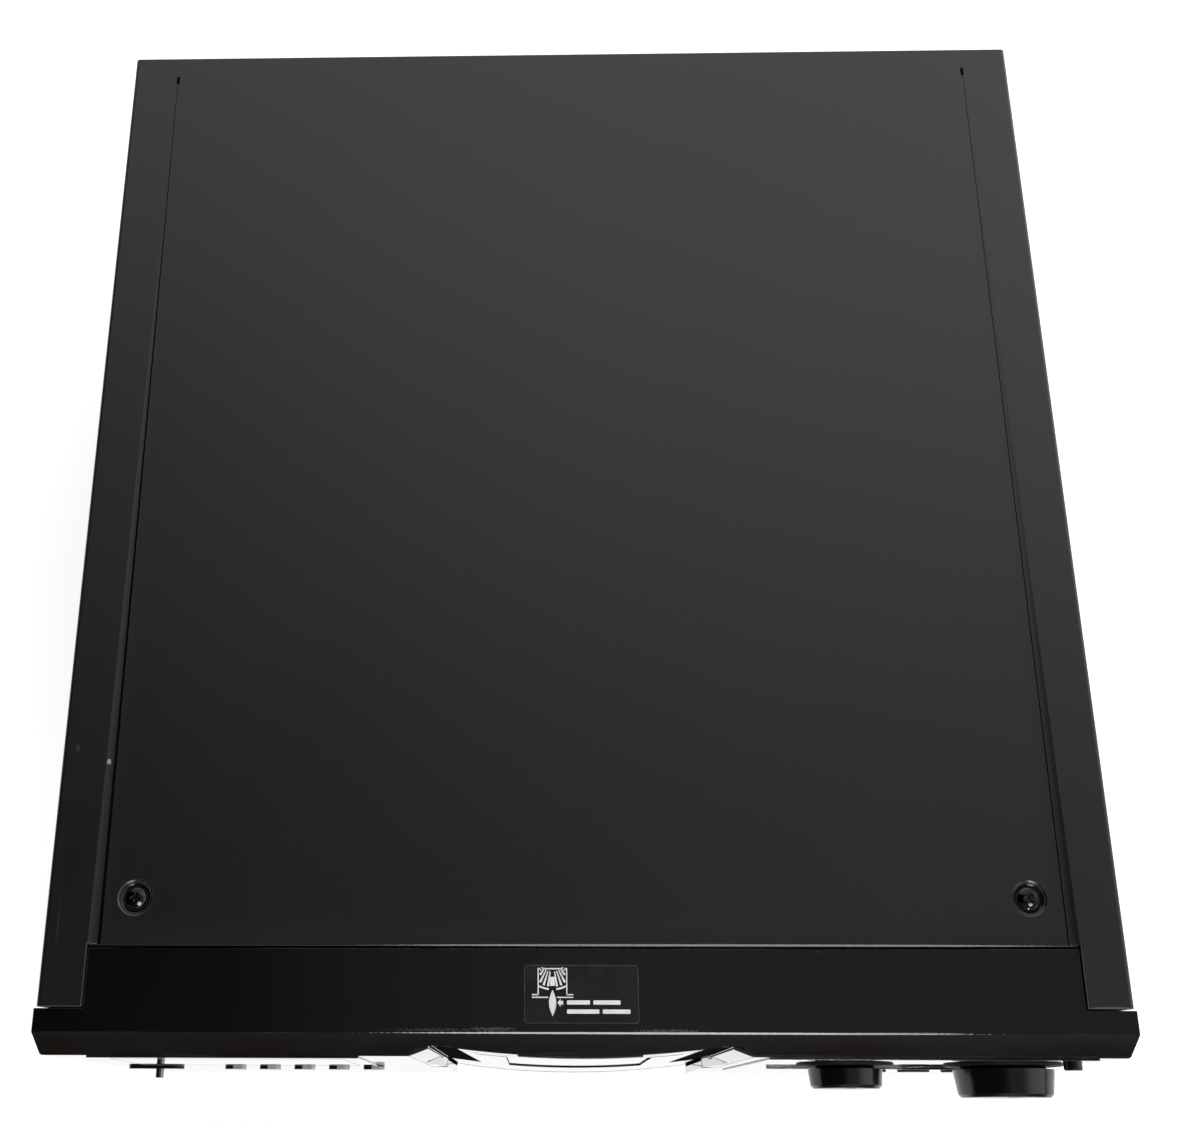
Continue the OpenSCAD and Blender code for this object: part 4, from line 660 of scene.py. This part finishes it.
# outlines, each a list of corners
def bar(x, y, w, h, r=0.0, steps=5):
    if r <= 0:
        return [(x + cx * w / 2, y + cy * h / 2) for cx, cy in ((-1, -1), (1, -1), (1, 1), (-1, 1))]
    corners = []
    for cx, cy, start in ((1, -1, -90), (1, 1, 0), (-1, 1, 90), (-1, -1, 180)):
        for i in range(steps + 1):
            a = math.radians(start + 90 * i / steps)
            corners.append((x + cx * (w / 2 - r) + r * math.cos(a), y + cy * (h / 2 - r) + r * math.sin(a)))
    return corners


def arcStrip(x, y, r, width, start, end, steps):
    strip = []
    inner, outer = r - width / 2, r + width / 2
    for i in range(steps):
        a, b = (math.radians(start + (end - start) * k / steps) for k in (i, i + 1))
        corners = ((inner, a), (outer, a), (outer, b), (inner, b))
        strip.append([(x + q * math.cos(t), y + q * math.sin(t)) for q, t in corners])
    return strip


def frameLine(x, y, w, h, r, line, steps=5):
    outer = bar(x, y, w, h, r, steps)
    inner = bar(x, y, w - 2 * line, h - 2 * line, r - line, steps)
    count = len(outer)
    return [[outer[i], outer[(i + 1) % count], inner[(i + 1) % count], inner[i]] for i in range(count)]


def addPiece(name, mesh, look, body):
    mesh.materials.append(finishes[look])
    piece = bpy.data.objects.new(name, mesh)
    scene.collection.objects.link(piece)
    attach(piece, body)
    return piece


# a built shape: its faces turned out, set on its place and made a mesh
def meshFrom(build, name, place):
    bmesh.ops.recalc_face_normals(build, faces=build.faces)
    bmesh.ops.transform(build, matrix=place, verts=build.verts)
    mesh = bpy.data.meshes.new(name)
    build.to_mesh(mesh)
    build.free()
    return mesh


# thin printed or laid-on shapes, drawn flat in mm and then raised; close corners become one
joinWithin = 0.0005


def layShapes(name, shapes, place, lift, thick, look, body, bend=None):
    build = bmesh.new()
    for shape in shapes:
        build.faces.new([build.verts.new((u, v, lift + (bend(u) if bend else 0.0))) for u, v in shape])
    bmesh.ops.remove_doubles(build, verts=build.verts, dist=joinWithin)
    raised = bmesh.ops.extrude_face_region(build, geom=build.faces[:])["geom"]
    top = [part for part in raised if isinstance(part, bmesh.types.BMVert)]
    bmesh.ops.translate(build, vec=(0, 0, thick), verts=top)
    return addPiece(name, meshFrom(build, name, place), look, body)


# turned shapes, from a profile of radius and height
def turnShape(name, profile, spots, place, look, body, steps=48):
    build = bmesh.new()
    turns = [2 * math.pi * i / steps for i in range(steps)]
    for x, y in spots:
        rings = []
        for r, h in profile:
            rings.append([build.verts.new((x + r * math.cos(t), y + r * math.sin(t), h)) for t in turns])
        for low, high in zip(rings, rings[1:]):
            for i in range(steps):
                build.faces.new((low[i], low[(i + 1) % steps], high[(i + 1) % steps], high[i]))
    for skin in build.faces:
        skin.smooth = True
    return addPiece(name, meshFrom(build, name, place), look, body)


# painted shade: a near-black strip at the foot of each step of the cover, where the crease lies in shade, and
# a dark slit at its rear end; and the rim under each top screw;
# a slit is given by how far in and in front it lies, its width, length and rounding
crease = {"foot": 192.3, "end": 448.9, "drop": 1.7, "long": 416.0, "wide": (1.3, 0.5), "rear": 0.22,
          "gaps": (0.5, 4.5), "slit": (0.3, 2.2, 1.4, 4.4, 0.5), "lift": 0.01, "thick": 0.02,
          "rim": ((5.6, -2.9), (5.7, -2.4), (6.0, -2.05), (6.4, -2.05), (6.7, -2.4))}


def makeCreases():
    tilt = math.atan(crease["drop"] / crease["long"])
    up, out = (0, math.cos(tilt), math.sin(tilt)), (0, -math.sin(tilt), math.cos(tilt))
    floorPlace = facePlace((0, edgeY + crease["end"], coverZ), (1, 0, 0), up, out)
    front, rear = crease["gaps"][0] - crease["long"], -crease["gaps"][1]
    inward, back, *size = crease["slit"]
    shapes = []
    for side, wide in zip((-1, 1), crease["wide"]):
        foot = side * crease["foot"]
        shapes.append([(foot, front), (foot - side * wide, front), (foot - side * crease["rear"], rear),
                       (foot, rear)])
        shapes.append(bar(foot - side * inward, -back, *size))
    layShapes("coverCreaseShade", shapes, floorPlace, crease["lift"], crease["thick"], "creaseShade", "case")
    topPlace = facePlace((0, edgeY + dimple["back"], coverZ), (1, 0, 0), (0, 1, 0), (0, 0, 1))
    spots = [(-dimple["x"], 0), (dimple["x"], 0)]
    turnShape("screwRims", crease["rim"], spots, topPlace, "keySatin", "case")


makeCreases()


# card on the shelf: a plain picture of a tray of slots with one disc half out, and blank bars beside it
card = {"x": 0.35, "y": 14.65, "w": 44.9, "h": 22.1, "corner": 1.6, "lift": 0.01, "thick": 0.08, "ink": 0.03,
        "inset": 0.15, "rim": 0.16, "rise": 0.35, "bar": (1.6, 0.3),
        "bars": ((-5.7, -3.5, 9.0), (4.6, -3.5, 10.6), (-5.7, -6.9, 12.6), (8.2, -6.9, 10.8))}
picture = {
    "x": 11.3, "middle": 13.4, "rays": (11, -136, 9.2), "rayEnds": (5.3, 11.0, 4.9), "rayHalf": (0.2, 0.42),
    "tray": ((0.0, 9.2, 11.6, 0.5), (-5.6, 4.1, 0.45, 9.7), (5.6, 4.1, 0.45, 9.7), (-6.8, -0.6, 2.6, 0.45),
             (-4.9, -1.6, 6.4, 0.45), (6.8, -0.6, 2.6, 0.45), (4.9, -1.6, 6.4, 0.45)),
    "arc": (12.0, 0.7), "arcs": ((-116, -97), (-83, -64)), "slot": (4.4, 1.9, 3.4),
    "disc": (-3.7, 1.42, 5.0, 12), "arrow": ((1.9, -3.6), (3.1, -5.1), (3.1, -2.1)),
    "stem": (3.6, -3.6, 1.0, 1.4), "least": 0.1, "arcSteps": 6}


def makePicture(x, y):
    marks = [bar(x + u, y + v, w, h) for u, v, w, h in picture["tray"]]
    count, first, step = picture["rays"]
    start, longest, sideways = picture["rayEnds"]
    thin, wide = picture["rayHalf"]
    high = y + picture["middle"]
    for i in range(count):
        a = math.radians(first + step * i)
        end = min(longest, sideways / max(abs(math.cos(a)), picture["least"]))
        near, far = (Vector((math.cos(a), math.sin(a))) * r for r in (start, end))
        across = Vector((-math.sin(a), math.cos(a)))
        if i != count // 2:  # the disc stands in place of the middle one
            ray = (near - across * thin, far - across * wide, far + across * wide, near + across * thin)
            marks.append([(x + q.x, high + q.y) for q in ray])
    for begin, end in picture["arcs"]:
        marks += arcStrip(x, high, *picture["arc"], begin, end, picture["arcSteps"])
    up, w, h = picture["slot"]
    marks.append(bar(x, y + up, w, h))
    up, half, tall, steps = picture["disc"]
    leaf = [(half * math.sin(math.pi * i / steps), tall - 2 * tall * i / steps) for i in range(steps + 1)]
    leaf += [(-u, v) for u, v in leaf[-2:0:-1]]
    marks.append([(x + u, y + up + v) for u, v in leaf])
    marks.append([(x + u, y + v) for u, v in picture["arrow"]])
    u, v, w, h = picture["stem"]
    marks.append(bar(x + u, y + v, w, h))
    return marks


def makeCard():
    x, y, w, h = card["x"], card["y"], card["w"], card["h"]
    corner, inset = card["corner"], card["inset"]
    layShapes("shelfCard", [bar(x, y, w, h, corner)], shelfPlace, card["lift"], card["thick"], "cardBlack",
              "case")
    top = card["thick"] + card["lift"]
    rim = frameLine(x, y, w - 2 * inset, h - 2 * inset, corner - inset, card["rim"])
    layShapes("shelfCardRim", rim, shelfPlace, top, card["ink"], "dimInk", "case")
    y += card["rise"]
    marks = makePicture(x - picture["x"], y)
    for left, row, wide in card["bars"]:
        marks.append(bar(x + left + wide / 2, y + row, wide, *card["bar"]))
    layShapes("shelfCardInk", marks, shelfPlace, top, card["ink"], "paleInk", "case")


makeCard()


# signs beside the keys, printed on the face and the lenses
signs = {"lift": 0.61, "bareLift": 0.01, "openLift": 0.62, "ink": 0.03, "above": 7.8,
         "ring": (12.0, 2.1, 0.5, 120, 420, 24), "stroke": (10.1, 0.5, 2.4), "dash": (7.6, 6.0, 0.5),
         "frame": (95.0, 60.0, 2.0, 0.3), "play": ((-1.5, -1.7), (1.9, 0.0), (-1.5, 1.7)),
         "pause": (0.8, 0.9, 3.2), "stop": 3.0,
         "open": ((-2.2, -0.1), (2.2, -0.1), (0.0, 2.2)), "openBar": (1.1, 4.4, 0.8)}


def layInk(name, shapes, lift, body):
    layShapes(name, shapes, frontPlace, lift, signs["ink"], "greyInk", body)


def makeSigns():
    x, v = spotOn("power_button")
    down, *ring = signs["ring"]
    left = arcStrip(x, v - down, *ring)
    down, w, h = signs["stroke"]
    left.append(bar(x, v - down, w, h))
    down, w, h = signs["dash"]
    for name in modeButtons:
        x, v = spotOn(name)
        left.append(bar(x, v - down, w, h))
    layInk("leftSigns", left, signs["bareLift"], "case")
    outline = frameLine(*spotOn("display_module"), *signs["frame"])
    layInk("displayLine", outline, signs["lift"], "case")
    x, v = spotOn("play_button")
    v += signs["above"]
    right = [[(x + a, v + b) for a, b in signs["play"]]]
    x = spotOn("pause_button")[0]
    aside, w, h = signs["pause"]
    right += [bar(x - aside, v, w, h), bar(x + aside, v, w, h)]
    right.append(bar(spotOn("stop_button")[0], v, signs["stop"], signs["stop"]))
    layInk("rightSigns", right, signs["lift"], "case")
    x, v = spotOn("open_button")
    down, w, h = signs["openBar"]
    openSign = [[(x + a, v + b) for a, b in signs["open"]], bar(x, v - down, w, h)]
    layInk("openSign", openSign, signs["openLift"], "open_key")


makeSigns()


# right part of each mode key: a pale cap, a painted reflection of the white table in front; behind the face a
# key has a wider flange
caps = {"share": 0.6, "over": 0.04, "soft": 0.2, "tall": 2.2, "flange": 1.5, "flangeDeep": 4.0,
        "from": 0.1, "short": 0.06, "steps": 12}


def makeKeyCaps():
    for i, name in enumerate(modeButtons, 1):
        low, high = boxOf(name)
        x, v = spotOn(name)
        v += caps["flangeDeep"] * leanSin
        tall = caps["tall"] + caps["over"]
        reach = faceY + v * leanSin - low.y
        half = (high.x - low.x) / 2 - caps["flange"]
        inner = x + half - 2 * half * caps["share"]
        outline = [(inner, v - tall)]
        for k in range(caps["steps"] + 1):
            a = math.radians(180 * k / caps["steps"] - 90)
            outline.append((x + half - caps["tall"] + tall * math.cos(a), v + tall * math.sin(a)))
        outline.append((inner, v + tall))
        cap = layShapes("modeCap%d" % i, [outline], frontPlace, caps["from"], reach - caps["short"],
                        "keyPaleReflection", "mode_key_%d" % i)
        soften(cap, caps["soft"])


makeKeyCaps()


# tops of the three keys on the right, and a black sleeve on the raised bar above the middle one
keyTops = {"from": 1.55, "thick": 0.65, "less": 0.1, "soft": 0.25, "flat": 0.02, "steps": 8}
sleeve = {"ends": (141.5, 162.6), "v": -70.0, "h": 2.5, "corner": 0.3, "lift": 0.01, "thick": 1.04}


def makeKeyTops():
    for key in ("play", "pause", "stop"):
        low, high = boxOf(key + "_button")
        x, v = spotOn(key + "_button")
        v += caps["flangeDeep"] * leanSin
        w = high.x - low.x - 2 * (caps["flange"] + keyTops["less"])
        h = high.z - low.z - 2 * (caps["flange"] + keyTops["less"])
        outline = bar(x, v, w, h, h / 2 - keyTops["flat"], keyTops["steps"])
        top = layShapes(key + "Top", [outline], frontPlace, keyTops["from"], keyTops["thick"], "keySatin",
                        key + "_key")
        soften(top, keyTops["soft"])
    start, end = sleeve["ends"]
    outline = bar((start + end) / 2, sleeve["v"], end - start, sleeve["h"], sleeve["corner"])
    layShapes("barSleeve", [outline], frontPlace, face["lensOut"] + sleeve["lift"], sleeve["thick"],
              "keySatin", "case")


makeKeyTops()


# collars inside the skirts of the dials, on the dials' axes: they close the view behind the dial
collars = {"inside": 3.4, "wall": 0.8, "from": 0.62, "to": 5.0, "bed": 1.25, "over": 0.3, "base": 2.6,
           "steps": 64}


def makeCollars():
    for name in ("small_dial", "large_dial"):
        low, high = boxOf(name)
        x, v = spotOn(name)
        v -= collars["base"] * leanSin
        half = (high.x - low.x) / 2
        rim, outer = half + collars["over"], half - collars["inside"]
        inner = outer - collars["wall"]
        near, bed, far = collars["from"], collars["bed"], collars["to"]
        profile = [(inner, near), (rim, near), (rim, bed), (outer, bed), (outer, far), (inner, far),
                   (inner, near)]
        turnShape(name.replace("_d", "D") + "Collar", profile, [(x, v)], frontPlace, "ringBlack", "case",
                  collars["steps"])


makeCollars()


# painted shade: matt black strips along the sides of the bowed door and its header, where the recess beside
# the wings lies in shade; cheeks that narrow the window, and tails that end the wings;
# strips are given by inner and outer edge and height, at the top and at the foot
doorTrim = {"bow": 405.0, "bulge": 0.1, "lift": 0.02, "thick": 0.05, "tuck": -0.02,
            "doorShadeStrips": ((47.6, 58.4, -13.2), (42.7, 56.6, -97.0)),
            "headerShadeStrips": ((48.4, 58.9, -0.4), (47.8, 58.6, -11.7)),
            "windowCheeks": ((29.8, 42.5, -23.6), (29.8, 42.5, -104.4)),
            "tail": ((64.9, 58.7, -60.0, -2.78), (64.4, 58.0, -100.8, -0.2))}


def bowOut(u):
    return math.sqrt(doorTrim["bow"] ** 2 - u * u) - doorTrim["bow"] + doorTrim["bulge"]


def bowedStrip(edges, columns=6):
    (topIn, topOut, topV), (lowIn, lowOut, lowV) = edges
    strip = []
    for side in (-1, 1):
        for k in range(columns):
            a, b = k / columns, (k + 1) / columns
            top = [side * (topIn + (topOut - topIn) * f) for f in (a, b)]
            low = [side * (lowIn + (lowOut - lowIn) * f) for f in (a, b)]
            strip.append([(top[0], topV), (top[1], topV), (low[1], lowV), (low[0], lowV)])
    return strip


def makeDoorTrim():
    for name, look, body in (("doorShadeStrips", "recessShadeMatt", "door"), ("headerShadeStrips", "recessShadeMatt", "case"),
                             ("windowCheeks", "doorGloss", "door")):
        layShapes(name, bowedStrip(doorTrim[name]), frontPlace, doorTrim["lift"], doorTrim["thick"], look,
                  body, bowOut)
    build = bmesh.new()
    (topOuter, topInner, topV, topDeep), (lowOuter, lowInner, lowV, lowDeep) = doorTrim["tail"]
    tuck = doorTrim["tuck"]
    for side in (-1, 1):
        spots = [(topOuter, topV, tuck), (topInner, topV, topDeep), (lowInner, lowV, lowDeep),
                 (lowOuter, lowV, tuck), (lowInner, lowV, topDeep)]
        a, b, c, d, e = (build.verts.new((side * u, v, deep)) for u, v, deep in spots)
        for corners in ((a, b, c, d), (b, e, c), (d, c, e), (a, d, e), (a, e, b)):
            build.faces.new(corners)
    addPiece("wingTails", meshFrom(build, "wingTails", frontPlace), "doorGloss", "case")


makeDoorTrim()


# dark, unlit segments on the display cell behind the left lens: six figures, a row of marks above them
# and two rows of cells below
cells = {"up": 6.0, "size": (7.4, 13.0), "line": 1.3, "gap": 0.12,
         "starts": (-31.0, -21.0, -5.0, 5.0, 21.0, 31.0), "marks": (12, -37.4, 6.8, 21.0),
         "mark": (5.0, 1.6, 0.3), "rows": (2, -12.0, 6.4), "columns": (15, -37.1, 5.3),
         "cell": (3.6, 3.8, 0.4), "lift": 0.02, "thick": 0.05}


def pointedBar(start, end, line, t):
    return [(start, line), (start + t / 2, line - t / 2), (end - t / 2, line - t / 2), (end, line),
            (end - t / 2, line + t / 2), (start + t / 2, line + t / 2)]


def segmentShapes(x, v, w, h, t):
    shapes = []
    gap = cells["gap"] * t
    for up in (-h / 2, 0, h / 2):
        shapes.append(pointedBar(x - w / 2 + gap, x + w / 2 - gap, v + up, t))
    for along in (-w / 2, w / 2):
        for low in (-h / 2, 0):
            upright = pointedBar(v + low + gap, v + low + h / 2 - gap, x + along, t)
            shapes.append([(b, a) for a, b in upright[:1] + upright[:0:-1]])
    return shapes


def makeCells():
    shapes = []
    x, v = spotOn("display_module")
    for along in cells["starts"]:
        shapes += segmentShapes(x + along, v + cells["up"], *cells["size"], cells["line"])
    count, first, step, up = cells["marks"]
    shapes += [bar(x + first + step * i, v + up, *cells["mark"]) for i in range(count)]
    rows, top, pitch = cells["rows"]
    count, first, step = cells["columns"]
    for row in range(rows):
        shapes += [bar(x + first + step * i, v + top - pitch * row, *cells["cell"]) for i in range(count)]
    layShapes("displaySegments", shapes, frontPlace, face["cellOut"] + cells["lift"], cells["thick"],
              "ghostInk", "case")


makeCells()


# plated sleeves, coloured inserts and pins of the rear jacks, and thin lines round each group
jacks = {"phono": (60.0, 40.0), "control": (-12.0, -28.0), "z": 60.2, "inlet": (-150.0, 49.2), "pinGap": 4.3,
         "sleeve": ((4.17, 0.6), (4.19, 0.8), (4.19, 7.2), (4.05, 7.52), (3.4, 7.53), (3.17, 7.3),
                    (3.17, 0.6)),
         "insert": ((3.17, 6.3), (2.62, 6.5), (2.58, 0.6), (3.19, 0.6), (3.17, 6.3)),
         "ring": ((4.03, 1.0), (4.06, 1.8), (3.9, 2.04), (2.1, 2.04), (1.78, 1.8), (1.78, 1.0)),
         "pin": ((1.23, -14.0), (1.24, -5.2), (1.1, -4.5), (0.6, -4.15), (0.0, -4.12)), "pinSteps": 32,
         "groups": ((50.0, 40.0), (14.0, 16.0), (-20.0, 32.0)), "group": (20.0, 2.0, 0.4),
         "inletGroup": (42.0, 32.0, 3.0, 0.4), "lift": 0.01, "ink": 0.03}


def turnJack(name, profile, spots, look, steps=48):
    turnShape(name, jacks[profile], spots, rearPlace, look, "case", steps)


def makeRearTrim():
    z = jacks["z"]
    spots = [(x, z) for x in jacks["phono"]]
    turnJack("phonoSleeves", "sleeve", spots, "platedTin")
    turnJack("phonoInsertWhite", "insert", spots[:1], "whiteInsert")
    turnJack("phonoInsertRed", "insert", spots[1:], "redInsert")
    turnJack("controlRings", "ring", [(x, z) for x in jacks["control"]], "platedTin")
    px, pz = jacks["inlet"]
    pins = [(px - jacks["pinGap"], pz), (px + jacks["pinGap"], pz)]
    turnJack("inletPins", "pin", pins, "platedTin", jacks["pinSteps"])
    lines = []
    for x, w in jacks["groups"]:
        lines += frameLine(x, z, w, *jacks["group"])
    lines += frameLine(px, pz, *jacks["inletGroup"])
    layShapes("rearLines", lines, rearPlace, jacks["lift"], jacks["ink"], "greyInk", "case")


makeRearTrim()


# pale floor, its shadow kept; white to the camera, to gloss and through clear plastic,
# but gloss sees it end a little way in front of the object, as a table top does
floorLook = {"tone": grey(0.82), "speckTone": grey(0.7), "speck": 0.03, "cloud": 3.0, "lift": 0.6,
             "half": 9.0, "squares": 12, "edge": (-0.34, -0.46), "beyond": (0.1, 0.064, 0.046)}


def makeFloor():
    build = bmesh.new()
    squares = floorLook["squares"]
    bmesh.ops.create_grid(build, x_segments=squares, y_segments=squares, size=floorLook["half"])
    mesh = bpy.data.meshes.new("floor")
    build.to_mesh(mesh)
    build.free()
    floor = bpy.data.objects.new("floor", mesh)
    scene.collection.objects.link(floor)
    material, tree = newMaterial("floorPaper")
    tree.nodes.remove(tree.nodes["Principled BSDF"])
    paper = addNode(tree, "BsdfDiffuse")
    speck = placeEffect(tree, toneCloud, Scale=floorLook["cloud"], High=floorLook["speck"])["Value"]
    feed(paper.inputs["Color"], mixTone(tree, speck, floorLook["tone"], floorLook["speckTone"]))
    glow = addNode(tree, "Emission")
    ray, seen = directRays(tree)
    feed(glow.inputs["Strength"], reckon(tree, "MULTIPLY", seen, floorLook["lift"]))
    lit = addNode(tree, "AddShader", paper.outputs[0], glow.outputs[0])
    along = axesOf(tree, addNode(tree, "TexCoord").outputs["Object"])["Y"]
    past = span(tree, along, *floorLook["edge"], 0.0, 1.0)
    mirrored = addNode(tree, "Emission")
    feed(mirrored.inputs["Color"], mixTone(tree, past, grey(1.0), floorLook["beyond"]))
    showMix(tree, ray["Is Glossy Ray"], lit.outputs[0], mirrored.outputs[0])
    mesh.materials.append(material)


makeFloor()


# studio: a room bright behind and to the right, dim overhead and in front, dark to the left;
# each level comes in between two slants of the view
room = {"rear": 1.2, "rearFrom": (0.2, 0.44), "front": 0.22, "frontFrom": (-0.2, -0.5), "right": 0.9,
        "rightFrom": (0.4, 0.85), "overhead": (0.02, 0.28), "overheadFrom": (-0.3, 0.06), "skew": 0.55}
lamps = {
    "backLight": {"place": (0.3, 1.9, 1.6), "aim": (0.0, 0.1, 0.15), "size": (1.1, 0.3), "power": 8.0,
                  "shine": False},
    "rightLight": {"place": (1.9, -0.3, 0.9), "aim": (0.0, 0.0, 0.12), "size": (1.0, 1.4), "power": 12.0,
                   "shine": False},
    "frontLight": {"place": (0.17, -2.0, 1.0), "aim": (0.0, -0.2, 0.1), "size": (0.95, 0.3), "power": 14.0,
                   "shine": True},
}


def makeStudio():
    world = bpy.data.worlds.new("room")
    scene.world = world
    world.use_nodes = True
    tree = world.node_tree
    way = axesOf(tree, addNode(tree, "TexCoord").outputs["Generated"])
    x, y = way["X"], way["Y"]
    level = span(tree, x, *room["overheadFrom"], *room["overhead"])
    slanted = reckon(tree, "MULTIPLY_ADD", reckon(tree, "MINIMUM", x, 0.0), room["skew"], y)
    for slant, part in ((slanted, "rear"), (y, "front"), (x, "right")):
        level = reckon(tree, "ADD", level, span(tree, slant, *room[part + "From"], 0.0, room[part]))
    shade = addNode(tree, "CombineColor", level, level, level)
    tone = mixTone(tree, directRays(tree)[1], shade.outputs[0], grey(1.0))
    feed(tree.nodes["Background"].inputs["Color"], tone)
    for name, lamp in lamps.items():
        light = bpy.data.lights.new(name, "AREA")
        light.shape = "RECTANGLE"
        light.size, light.size_y = lamp["size"]
        light.energy = lamp["power"]
        holder = bpy.data.objects.new(name, light)
        holder.location = lamp["place"]
        aim = Vector(lamp["aim"]) - Vector(lamp["place"])
        holder.rotation_euler = aim.to_track_quat("-Z", "Y").to_euler()
        holder.visible_glossy = lamp["shine"]
        scene.collection.objects.link(holder)


makeStudio()
print("studio lit")
